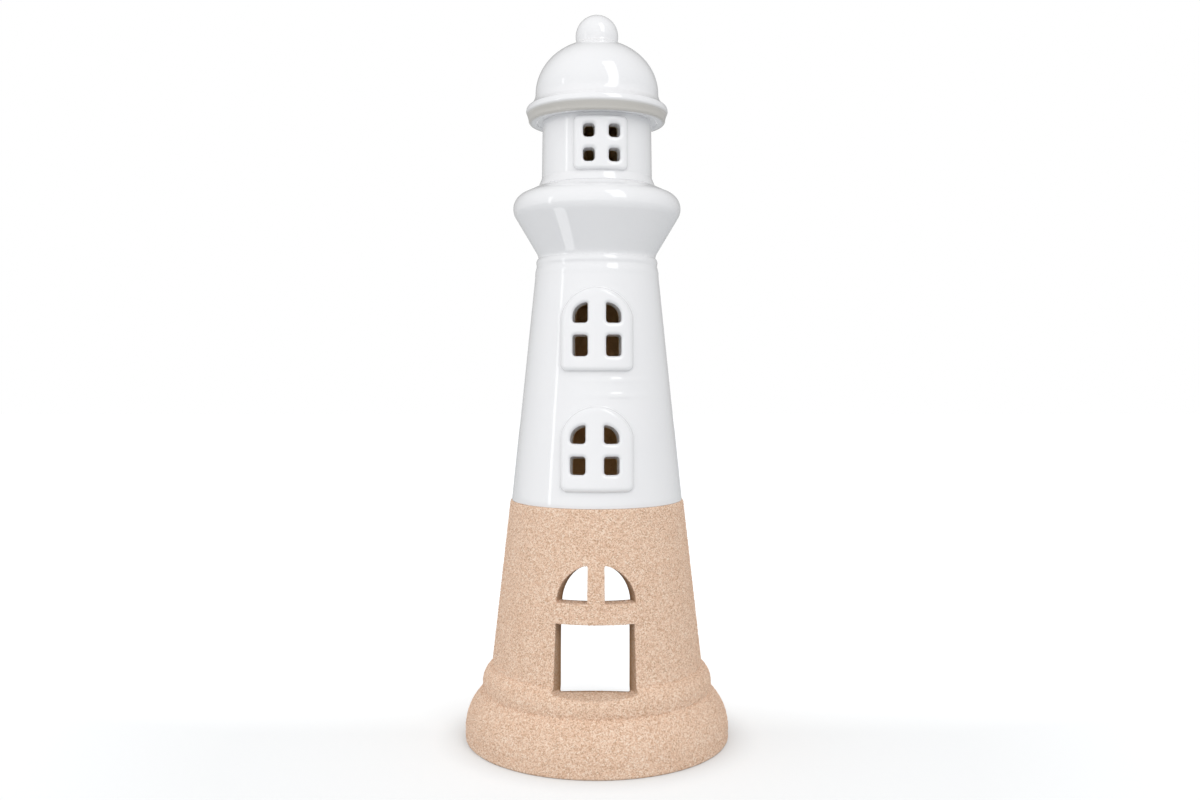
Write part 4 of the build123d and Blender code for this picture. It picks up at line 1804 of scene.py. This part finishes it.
@dataclass
class WhiteTower(Assembly):
    """White-glazed tower cone with its two arched windows, the lower one first.

    A ring of glaze is given by its height, its level and its spread. The collar goes round the head, and
    the runs stay near a place in front. Stops are levels where the cone's spans change to a length.
    """

    foot: Pair = (35.45, 98.1)
    head: Pair = (25.05, 198.6)
    foot_bore: float = 30.3
    head_bore: float = 20.05
    head_round: Pair = (0.95, 2.0)
    foot_round: float = 0.35
    reference: float = 30.0
    first_span: float = 2.4
    stops: tuple[Pair, ...] = ((138.0, 0.5), (151.0, 2.4), (189.0, 0.4))
    collar: tuple[Triple, ...] = ((0.2, 196.7, 0.9), (-0.17, 194.9, 0.8), (0.14, 192.4, 0.9))
    runs: tuple[Triple, ...] = ((0.2, 148.0, 0.9), (0.21, 142.1, 0.9))
    run_place: float = 8.0
    run_spread: float = 9.0
    window_width: float = 28.8
    window_side: float = 21.8
    arch_radius: float = 14.8
    corner: float = 2.4
    proud: float = 2.0
    pane_width: float = 5.9
    pane_heights: Pair = (7.0, 8.4)
    pane_offset: float = 6.6
    pane_levels: tuple[Pair, Pair] = ((10.2, 22.2), (10.1, 23.3))
    pane_corner: float = 1.2
    pane_springs: Pair = (1.8, 2.6)
    pane_rise: float = 5.4
    window_bases: Pair = (6.6, 53.6)
    pane_shifts: Pair = (-0.85, 0.0)
    pane_sinks: Pair = (0.9, 0.3)

    def ripple(self, along: float, level: float) -> float:
        """Give how far the glaze stands proud.

        Args:
            along: Length round the wall.
            level: Level on the wall.

        Returns:
            The height.
        """

        def ringed(rings: tuple[Triple, ...]) -> float:
            """Add up soft rings at this level."""
            return sum(height * bell(level, middle, spread) for height, middle, spread in rings)

        near = bell(along, self.run_place, self.run_spread)
        return ringed(self.collar) + near * ringed(self.runs)

    def share(self, level: float) -> float:
        """Give the share of the way up the cone at a level."""
        return (level - self.foot[1]) / (self.head[1] - self.foot[1])

    def radius(self, level: float) -> float:
        """Give the cone's outer radius at a level."""
        return self.foot[0] + (self.head[0] - self.foot[0]) * self.share(level)

    def bore(self, level: float) -> float:
        """Give the cone's inner radius at a level."""
        return self.foot_bore + (self.head_bore - self.foot_bore) * self.share(level)

    def window(self) -> list[Pair]:
        """Draw the arched outline of a window.

        Returns:
            The outline.
        """
        half = self.window_width / 2
        spread = math.degrees(math.acos(half / self.arch_radius))
        middle = self.window_side - self.arch_radius * math.sin(math.radians(spread))
        curve = arc((0.0, middle), self.arch_radius, spread, 180 - spread, 32)
        corners = [(-half, 0.0, self.corner), (half, 0.0, self.corner)]
        return soften([*corners, *sharp(curve)], True)

    def panes(self, window: int) -> list[list[Pair]]:
        """Draw the four panes of a window, the upper two under the arch.

        Args:
            window: Number of the window.

        Returns:
            Their outlines.
        """
        low, high = self.pane_levels[window]
        shift = self.pane_shifts[window]
        half = self.pane_width / 2
        tall = self.pane_heights[window] / 2
        near = self.pane_offset - half
        far = self.pane_offset + half
        turn = self.pane_corner
        lower = rectangle((near, low - tall), (far, low + tall), turn)
        spring = high - tall + self.pane_springs[window]
        sweep = swept((near, spring), (far - near, self.pane_rise), 0.0, 90.0, 8)
        bottom = [(near, high - tall, turn), (far, high - tall, turn)]
        upper = [*bottom, *sharp(sweep[:-1]), (*sweep[-1], turn / 2)]
        right = [lower, soften(upper, True)]
        left = [mirrored(pane) for pane in right]
        return [[(x + shift, y) for x, y in pane] for pane in (*right, *left)]

    def outer_section(self) -> list[Pair]:
        """Draw the cone's outer face, with rounded ends and short spans where the glaze ripples.

        Returns:
            Radius and level of its points.
        """
        edge = self.foot_round
        head = self.head_round
        lean = (self.head[0] - self.foot[0]) / (self.head[1] - self.foot[1])
        low = (self.foot[0] + lean * edge, self.foot[1] + edge)
        high = (self.head[0] - lean * head[1], self.head[1] - head[1])
        start = quarter((self.foot[0] - edge, self.foot[1]), self.foot, low, 4)
        top = quarter(high, self.head, (self.head[0] - head[0], self.head[1]), 8)
        places = [low, *[(self.radius(level), level) for level, _ in self.stops], high]
        spans = [self.first_span, *[span for _, span in self.stops]]
        face = []
        for first, last, span in zip(places, places[1:], spans):
            face.extend(divided([first, last], span)[1:])
        return [*start, *face, *top[1:]]

    def build(self) -> None:
        """Build and dress the cone and its two windows."""
        inner = divided([(self.foot_bore, self.foot[1]), (self.head_bore, self.head[1])], INNER_STEP)
        openings = []
        for base in self.window_bases:
            outline = [(x, y + self.foot[1] + base) for x, y in spaced(self.window(), WINDOW_STEP)]
            openings.append(Opening(outline, Jambs.PARALLEL, edge=WINDOW_EDGE, inner_edge=WINDOW_EDGE))
        cone = RoundWall(self.outer_section(), inner, openings, reference=self.reference, swell=self.ripple)
        piece = stood("white_tower", cone.skin().bare(), self.finishes.glaze)
        carried(piece, Body.TOWER, Slot.GLAZE, ("upper_tower",))
        for index, name in enumerate(("lower_window", "upper_window")):
            panel = WindowPanel(
                name=f"{name}_panel",
                node=f"{name}_frame",
                glaze=self.finishes.glaze,
                outline=self.window(),
                panes=self.panes(index),
                base=self.foot[1] + self.window_bases[index],
                wall=self.radius,
                bore=self.bore,
                proud=self.proud,
                pane_sink=self.pane_sinks[index],
            )
            panel.build()


@dataclass
class Lantern(Assembly):
    """Flared gallery and the lantern room on it, with one square window."""

    neck: Pair = (24.1, 198.6)
    neck_cove: float = 2.0
    neck_lap: float = 0.85
    deck: Pair = (25.2, 228.0)
    rim_radius: float = 35.0
    rim_bulge: float = 7.2
    rim_level: float = 218.8
    wall: float = 5.0
    neck_bore: float = 20.05
    neck_rise: float = 3.0
    bore: float = 18.3
    deck_inner: float = 2.0
    flange: Pair = (24.6, 228.0)
    flange_lap: float = 0.5
    foot: Pair = (23.05, 231.8)
    head: Pair = (22.7, 255.2)
    reference: float = 23.0
    columns: int = 144
    turn: float = 4.0
    window_size: float = 21.8
    window_base: float = 232.0
    window_corner: float = 2.0
    window_proud: float = 1.6
    window_round: float = 1.35
    window_cove: float = 0.6
    pane_size: Pair = (4.5, 5.3)
    pane_offsets: Pair = (5.1, 4.85)
    pane_shift: float = 0.3
    pane_corner: float = 1.4

    def touch(self, start: Pair, side: float) -> float:
        """Find where a line from a point touches the rim's round.

        Args:
            start: The point.
            side: 1 or -1, for the side of the round that it passes.

        Returns:
            The angle on the round, in degrees.
        """
        middle = (self.rim_radius - self.rim_bulge, self.rim_level)
        away = (start[0] - middle[0], start[1] - middle[1])
        swing = side * math.acos(self.rim_bulge / math.hypot(away[0], away[1]))
        return math.degrees(math.atan2(away[1], away[0]) + swing)

    def gallery(self) -> None:
        """Build and dress the gallery."""
        middle = (self.rim_radius - self.rim_bulge, self.rim_level)
        round_rim = arc(middle, self.rim_bulge, self.touch(self.neck, 1.0), self.touch(self.deck, -1.0), 26)
        slope = (round_rim[0][0] - self.neck[0]) / (round_rim[0][1] - self.neck[1])
        landing = (self.neck[0] + slope * self.neck_cove, self.neck[1] + self.neck_cove)
        cove = curved((self.neck[0] + self.neck_lap, self.neck[1] - self.neck_lap), self.neck, landing, 10)
        deck = [(*self.deck, 0.5), (self.bore + self.deck_inner, self.deck[1], 0.0)]
        skin = [*cove, *round_rim[:-1], *soften([(*round_rim[-1], 0.0), *deck], False)]
        hidden = [
            (self.bore, self.deck[1]),
            (self.bore, self.deck[1] - self.wall),
            (self.rim_radius - self.wall, self.rim_level),
            (self.neck_bore, self.neck[1] + self.neck_rise),
            (self.neck_bore, self.neck[1]),
        ]
        outer = divided(skin, SKIN_STEP)
        inner = divided(hidden, INNER_STEP)
        piece = self.potter.turned("gallery_ring", outer, inner, self.finishes.glaze, closed=True)
        carried(piece, Body.TOWER, Slot.GLAZE, ("gallery",))

    def drum(self, level: float) -> float:
        """Give the lantern room's outer radius at a level."""
        return float(np.interp(level, [self.foot[1], self.head[1]], [self.foot[0], self.head[0]]))

    def room(self) -> None:
        """Build and dress the lantern room and its window."""
        flange = [(self.flange[0] - self.flange_lap, self.flange[1], 0.0), (*self.flange, 0.45)]
        outer = divided(soften([*flange, (*self.foot, 1.2), (*self.head, 0.0)], False), SKIN_STEP)
        inner = divided([(self.bore, self.flange[1]), (self.bore, self.head[1])], INNER_STEP)
        half = self.window_size / 2
        outline = rectangle((-half, 0.0), (half, 2 * half), self.window_corner)
        hole = [(x, y + self.window_base) for x, y in spaced(outline, WINDOW_STEP)]
        opening = Opening(hole, Jambs.PARALLEL, turn=self.turn, edge=WINDOW_EDGE, inner_edge=WINDOW_EDGE)
        wall = RoundWall(outer, inner, [opening], reference=self.reference, columns=self.columns)
        piece = stood("lantern_wall", wall.skin().bare(), self.finishes.glaze)
        carried(piece, Body.TOWER, Slot.GLAZE, ("lantern_room",))
        wide, tall = self.pane_size
        pane = rectangle((-wide / 2, -tall / 2), (wide / 2, tall / 2), self.pane_corner)
        panes = []
        for across in (-self.pane_offsets[0], self.pane_offsets[0]):
            for up in (half - self.pane_offsets[1], half + self.pane_offsets[1]):
                panes.append([(x + across + self.pane_shift, y + up) for x, y in pane])
        panel = WindowPanel(
            name="lantern_window_panel",
            node="lantern_window_frame",
            glaze=self.finishes.glaze,
            outline=outline,
            panes=panes,
            base=self.window_base,
            wall=self.drum,
            bore=lambda level: self.bore,
            proud=self.window_proud,
            turn=self.turn,
            round_edge=self.window_round,
            cove=self.window_cove,
        )
        panel.build()

    def build(self) -> None:
        """Build and dress the gallery, the lantern room and its window."""
        self.gallery()
        self.room()


@dataclass
class Roof(Assembly):
    """Lift-off domed roof with its ball.

    The spigot is given by its outer and inner radius, and the lip's turn by how far it starts outside
    and above the lip and ends within it.
    """

    level: float = 255.2
    brim_radius: float = 29.6
    brim_lip: float = 1.3
    brim_bow: float = 0.2
    lip_width: float = 3.0
    lip_drop: float = 0.4
    lip_step: float = 0.5
    lip_turn: Triple = (0.15, 0.5, 0.35)
    brim_shoulder: float = 1.0
    shoulder_drop: float = 0.3
    brim_height: float = 6.4
    flare_height: float = 5.4
    flare_hollow: float = 0.8
    dome_radius: float = 25.65
    dome_rise: float = 22.4
    dome_wall: float = 5.0
    spigot: Pair = (17.8, 14.8)
    spigot_height: float = 4.0
    ball_radius: float = 8.9
    ball_columns: int = 128
    seat_radius: float = 8.3
    seat_depth: float = 0.6
    cove_width: float = 1.0
    cove_angle: float = 9.0
    cove_pull: Pair = (0.15, 0.05)
    cove_lift: float = 0.02
    # The brim below its brow is painted grey as shade.
    brim_shade_mark: float = 0.3
    brow_height: float = 4.0
    shade_blend: float = 1.1
    shade_inset: float = 0.5
    bare_reach: float = 0.2

    def brim_shade(self, point: Pair) -> float:
        """Give the mark of a point of the lid: painted shade low on the brim, bare on the spigot.

        Args:
            point: Radius and level of the point.

        Returns:
            The mark.
        """
        if point[0] < self.spigot[0] + self.bare_reach and point[1] < self.level + self.bare_reach:
            return 1.0
        if point[0] < self.brim_radius - self.brim_lip - self.shade_inset:
            return 0.0
        return self.brim_shade_mark * clamped((self.level + self.brow_height - point[1]) / self.shade_blend)

    def dome_at(self, radius: float) -> float:
        """Give the dome's level at a radius."""
        springing = self.level + self.brim_height + self.flare_height
        return springing + self.dome_rise * math.sqrt(1 - (radius / self.dome_radius) ** 2)

    def lid(self) -> None:
        """Build and dress the dome, its brim and the spigot below."""
        shoulder = self.level + self.brim_height
        springing = shoulder + self.flare_height
        start = math.degrees(math.acos(self.seat_radius / self.dome_radius))
        dome = swept((0.0, springing), (self.dome_radius, self.dome_rise), start, 0.0, 34)
        edge = self.brim_radius - self.brim_shoulder
        flare = bowed((self.dome_radius, springing), (edge, shoulder), self.flare_hollow, 8)
        lip = self.brim_radius - self.brim_lip
        brow = (self.brim_radius, self.level + self.brow_height)
        upper = quarter((edge, shoulder), (self.brim_radius, shoulder - self.shoulder_drop), brow, 8)
        low = self.level - self.lip_drop
        proud, above, within = self.lip_turn
        lower = [*bowed(brow, (lip + proud, low + above), self.brim_bow, 8), (lip - within, low)]
        inset, hollow = self.spigot
        foot = self.level - self.spigot_height
        inner_lip = lip - self.lip_width
        under = [
            (lip, low, 0.0),
            (inner_lip, low, 0.5),
            (inner_lip - self.lip_step, self.level, 0.4),
            (inset, self.level, 0.4),
            (inset, foot, 0.6),
            (hollow, foot, 0.6),
            (hollow, self.level, 0.0),
        ]
        seat = [(0.0, self.dome_at(self.seat_radius)), dome[0]]
        skin = [*seat, *dome[1:], *flare[1:], *upper[1:], *lower[1:], *soften(under, False)[1:]]
        vault = (self.dome_radius - self.dome_wall, self.dome_rise - self.dome_wall)
        hidden = swept((0.0, springing), vault, 0.0, 90.0, 16)
        outer = divided(skin, SKIN_STEP)
        inner = divided(hidden, INNER_STEP)
        # The brim's lower band carries painted shade, and the spigot is bare clay.
        piece = self.potter.turned("roof_dome", outer, inner, self.finishes.glaze, shade_and_bare=self.brim_shade)
        carried(piece, Body.ROOF, Slot.GLAZE, ("roof_lid",))

    def ball(self) -> None:
        """Build and dress the ball, with a cove of glaze round its seat."""
        seat = self.dome_at(self.seat_radius)
        middle = seat + math.sqrt(self.ball_radius**2 - self.seat_radius**2)
        low = -math.degrees(math.asin((middle - seat) / self.ball_radius))
        sphere = arc((0.0, middle), self.ball_radius, 90.0, low + self.cove_angle, 30)
        outer = self.seat_radius + self.cove_width
        landing = (outer, self.dome_at(outer) + self.cove_lift)
        handle = (self.seat_radius + self.cove_pull[0], seat + self.cove_pull[1])
        cove = curved(sphere[-1], handle, landing, 6)
        bottom = seat - self.seat_depth
        skin = [*sphere, *cove[1:], (self.seat_radius, bottom), (0.0, bottom)]
        glaze = self.finishes.glaze
        piece = self.potter.turned("ball_finial_glazed", skin, [], glaze, segments=self.ball_columns)
        carried(piece, Body.ROOF, Slot.GLAZE, ("ball_finial",))

    def build(self) -> None:
        """Build and dress the lid and the ball."""
        self.lid()
        self.ball()


@dataclass
class TeaLight(Assembly):
    """Tea light in its aluminium cup, standing inside the doorway.

    The wax is given at the wick, at the dish round it and at the cup: how far it rises there and how much
    it bows up to there. Its stops are the wick's hole, the start of the dish, and how far the dish ends
    from the cup.
    """

    centre: Pair = (0.0, -22.0)
    floor: float = 3.5
    radius: float = 18.65
    height: float = 13.5
    sheet: float = 0.4
    bead: float = 0.34
    bead_turn: Pair = (-100.0, 170.0)
    side_insets: Pair = (0.35, 0.1)
    side_round: float = 0.9
    well_drop: float = 0.5
    well_inset: float = 0.3
    well_round: float = 0.8
    flutes: int = 60
    flute_faces: int = 6
    flute_depth: float = 0.09
    flute_ends: Pair = (0.8, 1.2)
    flute_fade: float = 1.5
    wax_level: float = 10.0
    wax_gap: float = 0.2
    wax_base: float = 0.7
    wax_rise: Triple = (0.45, 0.05, 0.65)
    wax_peak: float = 0.5
    wax_bows: Triple = (0.28, 0.08, 0.2)
    wax_stops: Triple = (0.85, 4.2, 2.4)
    wax_side: float = 1.6
    wax_inset: float = 0.6
    wax_round: float = 0.4
    wick_foot: float = 1.0
    wick_top: float = 15.5
    wick_steps: int = 64
    wick_sides: int = 10
    strands: int = 3
    strand_turns: float = 4.5
    strand_radius: float = 0.43
    strand_tip: float = 0.2
    strand_offset: float = 0.4
    lean: float = 8.8
    lean_start: float = 0.68
    step: float = 1.6

    def flute(self, vert: bpy.types.MeshVertex) -> None:
        """Press a point of the cup's side into its flutes, which fade at both ends.

        Args:
            vert: The point.
        """
        across = vert.co.x / MM - self.centre[0]
        away = vert.co.y / MM - self.centre[1]
        reach = math.hypot(across, away)
        up = vert.co.z / MM - self.floor
        low, high = self.flute_ends
        if reach < self.radius - high or not low < up < self.height - high:
            return
        fade = min(1.0, (up - low) / self.flute_fade, (self.height - high - up) / self.flute_fade)
        wave = math.cos(math.atan2(away, across) * self.flutes)
        grow = 1 + self.flute_depth * fade * (wave - 1) / reach
        vert.co.x = (self.centre[0] + across * grow) * MM
        vert.co.y = (self.centre[1] + away * grow) * MM

    def cup(self) -> None:
        """Build and dress the cup, with a rolled rim and fluted side."""
        top = self.floor + self.height - self.bead
        low, high = self.side_insets
        foot = [(0.0, self.floor, 0.0), (self.radius - low, self.floor, self.side_round)]
        side = [*foot, (self.radius - high, top - self.bead, 0.0)]
        rim = arc((self.radius, top), self.bead, *self.bead_turn, 12)
        inner = self.radius - self.sheet
        base = self.floor + self.sheet
        corner = (inner - self.well_inset, base, self.well_round)
        well = [(inner, top - self.well_drop, 0.0), corner, (0.0, base, 0.0)]
        skin = divided([*soften(side, False), *rim, *soften(well, False)], self.step)
        columns = self.flutes * self.flute_faces
        metal = self.finishes.aluminium
        piece = self.potter.turned("tea_light_tub", skin, [], metal, centre=self.centre, segments=columns)
        for vert in piece.data.vertices:
            self.flute(vert)
        carried(piece, Body.TEA_LIGHT, Slot.CUP, ("tea_light_cup",))

    def wax(self) -> None:
        """Build and dress the wax, drawn up a little at the cup and the wick."""
        level = self.floor + self.wax_level
        edge = self.radius - self.sheet - self.wax_gap
        at_wick, at_dish, at_cup = self.wax_rise
        wick, start, reach = self.wax_stops
        dish_start = (start, level)
        dish_end = (edge - reach, level + at_dish)
        drawn = bowed((wick, level + at_wick), dish_start, self.wax_bows[0], 8)
        dish = bowed(dish_start, dish_end, self.wax_bows[1], 8)
        climb = bowed(dish_end, (edge, level + at_cup), self.wax_bows[2], 6)
        foot = self.floor + self.wax_base
        corner = (edge - self.wax_inset, foot, self.wax_round)
        base = [(edge, self.floor + self.wax_side, 0.0), corner, (0.0, foot, 0.0)]
        skin = [(0.0, level + self.wax_peak), *drawn, *dish[1:], *climb[1:], *soften(base, False)]
        outer = divided(skin, self.step)
        piece = self.potter.turned("tea_light_fill", outer, [], self.finishes.wax, centre=self.centre)
        carried(piece, Body.TEA_LIGHT, Slot.WAX, ("tea_light_wax",))

    def wick(self) -> None:
        """Build and dress the wick, three strands laid together and leaning a little."""
        skin = Skin()
        low = self.floor + self.wick_foot
        high = self.floor + self.wick_top
        for strand in range(self.strands):
            rows = []
            for step in range(self.wick_steps + 1):
                share = step / self.wick_steps
                level = low + (high - low) * share
                turn = 2 * math.pi * (strand / self.strands + share * self.strand_turns)
                lean = self.lean * max(0.0, share - self.lean_start) ** 2
                thin = self.strand_radius if step < self.wick_steps else self.strand_tip
                x = self.centre[0] + lean + self.strand_offset * math.cos(turn)
                y = self.centre[1] + self.strand_offset * math.sin(turn)
                row = []
                for side in range(self.wick_sides):
                    angle = 2 * math.pi * side / self.wick_sides
                    row.append((x + thin * math.cos(angle), y + thin * math.sin(angle), level))
                rows.append(row)
            skin.tube(rows, 0.0)
        carried(stood("wick_yarn", skin.bare(), self.finishes.cotton), Body.TEA_LIGHT, Slot.WICK, ("wick",))

    def sustainer(self) -> None:
        """Dress the tin foot of the wick, whose solid stays."""
        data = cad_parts["wick_sustainer"].data
        data.materials.clear()
        data.materials.append(self.finishes.tin)
        log.info("wick_sustainer: dressed")

    def build(self) -> None:
        """Build and dress every piece of the tea light."""
        self.cup()
        self.wax()
        self.wick()
        self.sustainer()


# Studio


@dataclass(frozen=True)
class Lamp:
    """A soft box: where it stands, where it aims, its size and its brightness, where a white sheet is 1."""

    name: str
    place: Triple
    aim: Triple
    size: Pair
    glow: float
    roll: float = 0.0

    def hang(self) -> None:
        """Hang the lamp."""
        data = bpy.data.lights.new(self.name, "AREA")
        data.shape = "RECTANGLE"
        data.size, data.size_y = self.size
        data.energy = self.glow * math.pi * self.size[0] * self.size[1]
        lamp = shown(self.name, data)
        lamp.location = self.place
        towards = Vector(self.aim) - Vector(self.place)
        lamp.rotation_euler = towards.to_track_quat("-Z", "Y").to_euler()
        if self.roll:
            lamp.rotation_euler.rotate_axis("Z", math.radians(self.roll))


@dataclass
class Studio:
    """Pale floor, soft light and the camera, in metres.

    The lamps are a tall box at the front right, a narrow strip on the left, and a card that lies on the
    floor at the left and makes the slanting stripe on the gallery.
    """

    eye: Triple = (0.0, -0.469, 0.1541)
    sensor: float = 36.0
    clip: Pair = (0.01, 20.0)
    focal_pixels: float = 1120.0
    frame_pixels: Pair = (1200.0, 800.0)
    middle_pixels: Pair = (596.9, 365.0)
    floor_half: float = 3.0
    floor_colour: Colour = (0.655, 0.67, 0.68, 1)
    # The floor's glow is painted paler behind the object, and painted darker as contact shadow near its
    # foot.
    front_glow: Colour = (0.35, 0.35, 0.35, 1)
    back_glow: Colour = (0.55, 0.55, 0.55, 1)
    pale_behind: float = 0.07
    pale_from: float = 0.15
    pale_over: float = 0.3
    contact: float = 0.014
    sky_side: float = 0.985
    sky_front: float = 0.36
    sky_left: float = 0.17
    sky_top: float = -0.24
    gloss_rear: float = 0.17
    gloss_left: float = 0.17
    board_edge: float = 0.965
    lamps: tuple[Lamp, ...] = (
        Lamp("key_box", (0.49, -0.81, 1.0), (0.0, 0.0, 0.24), (0.4, 1.0), 2.2),
        Lamp("side_strip", (-1.02, -0.47, 0.36), (0.0, 0.0, 0.15), (0.085, 0.7), 1.8),
        Lamp("floor_card", (-0.221, -0.124, 0.003), (-0.221, -0.124, 1.0), (0.075, 0.13), 1.4, 61.0),
    )

    def camera(self) -> None:
        """Set up the camera, level and square on to the doorway."""
        wide, tall = self.frame_pixels
        data = bpy.data.cameras.new("camera")
        data.sensor_width = self.sensor
        data.lens = self.sensor * self.focal_pixels / wide
        data.shift_x = (wide / 2 - self.middle_pixels[0]) / wide
        data.shift_y = (self.middle_pixels[1] - tall / 2) / wide
        data.clip_start, data.clip_end = self.clip
        camera = shown("camera", data)
        camera.location = self.eye
        camera.rotation_euler = (math.pi / 2, 0.0, 0.0)
        bpy.context.scene.camera = camera

    def floor(self) -> None:
        """Lay the floor, whose glow is painted paler behind the object and painted darker as contact shadow
        where the object stands on it.

        Its own glow is seen only by the camera and through glass.
        """
        half = self.floor_half
        data = bpy.data.meshes.new("floor")
        corners = [(-half, -half, 0), (half, -half, 0), (half, half, 0), (-half, half, 0)]
        data.from_pydata(corners, [], [(0, 1, 2, 3)])
        graph = Paint("pale_floor")
        behind = graph.split(graph.spot, "Y")[0] / self.pale_behind
        distance = graph.wire("ShaderNodeVectorMath", {"operation": "LENGTH"}, {0: graph.spot}, "Value")
        far = (distance - self.pale_from) / self.pale_over
        sheet = graph.mixed(behind.most(far), self.front_glow, self.back_glow)
        # Painted contact shadow: the glow darkens by ambient occlusion near the object.
        painted_contact_shadow = graph.wire("ShaderNodeAmbientOcclusion", None, {"Distance": self.contact}, "AO")
        path = graph.node("ShaderNodeLightPath")
        direct, glass = graph.wires(path, "Is Camera Ray", "Is Transmission Ray")
        sockets = {
            "Base Color": self.floor_colour,
            "Roughness": 1.0,
            "Specular IOR Level": 0.0,
            "Emission Color": graph.mixed(direct.most(glass) * painted_contact_shadow, BLACK, sheet),
            "Emission Strength": 1.0,
        }
        data.materials.append(graph.finished(sockets))
        shown("floor", data)

    def surroundings(self) -> None:
        """Set the surroundings, brighter in front, on the left and low down, with a white board behind.

        The camera sees only white. Glossy surfaces see a darker back than the light that falls on them.
        """
        world = bpy.data.worlds.new("surroundings")
        bpy.context.scene.world = world
        world.use_nodes = True
        graph = Graph(world.node_tree)
        way = graph.wire("ShaderNodeTexCoord", output="Generated")
        right, away, height = graph.split(way, "X", "Y", "Z")
        up = height.most(0.0)
        sky = self.sky_side - away * self.sky_front - right * self.sky_left + up * self.sky_top
        board = graph.sum("GREATER_THAN", away, self.board_edge)
        path = graph.node("ShaderNodeLightPath")
        direct, gloss, glass = graph.wires(path, "Is Camera Ray", "Is Glossy Ray", "Is Transmission Ray")
        blank = (gloss.most(glass) * board).most(direct)
        flagged = sky - gloss * away.most(0.0) * (self.gloss_rear - right * self.gloss_left)
        light = graph.wire("ShaderNodeBackground", None, {"Color": WHITE, "Strength": flagged})
        white = graph.wire("ShaderNodeBackground", None, {"Color": WHITE, "Strength": 1.0})
        mixed = graph.wire("ShaderNodeMixShader", None, {0: blank, 1: light, 2: white})
        graph.node("ShaderNodeOutputWorld", None, {"Surface": mixed})

    def build(self) -> None:
        """Set up the whole studio."""
        bpy.context.scene.view_settings.view_transform = "Standard"
        self.camera()
        self.floor()
        self.surroundings()
        for lamp in self.lamps:
            lamp.hang()


def main() -> None:
    """Build every sub-assembly, each piece noting its faces, and the studio."""
    logging.basicConfig(level=logging.INFO, format="%(name)s: %(message)s")
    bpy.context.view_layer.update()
    finishes = Finishes.mixed()
    potter = Potter()
    for assembly in (SandBase, WhiteTower, Lantern, Roof, TeaLight):
        assembly(finishes, potter).build()
    Studio().build()


if __name__ == "__main__":
    main()
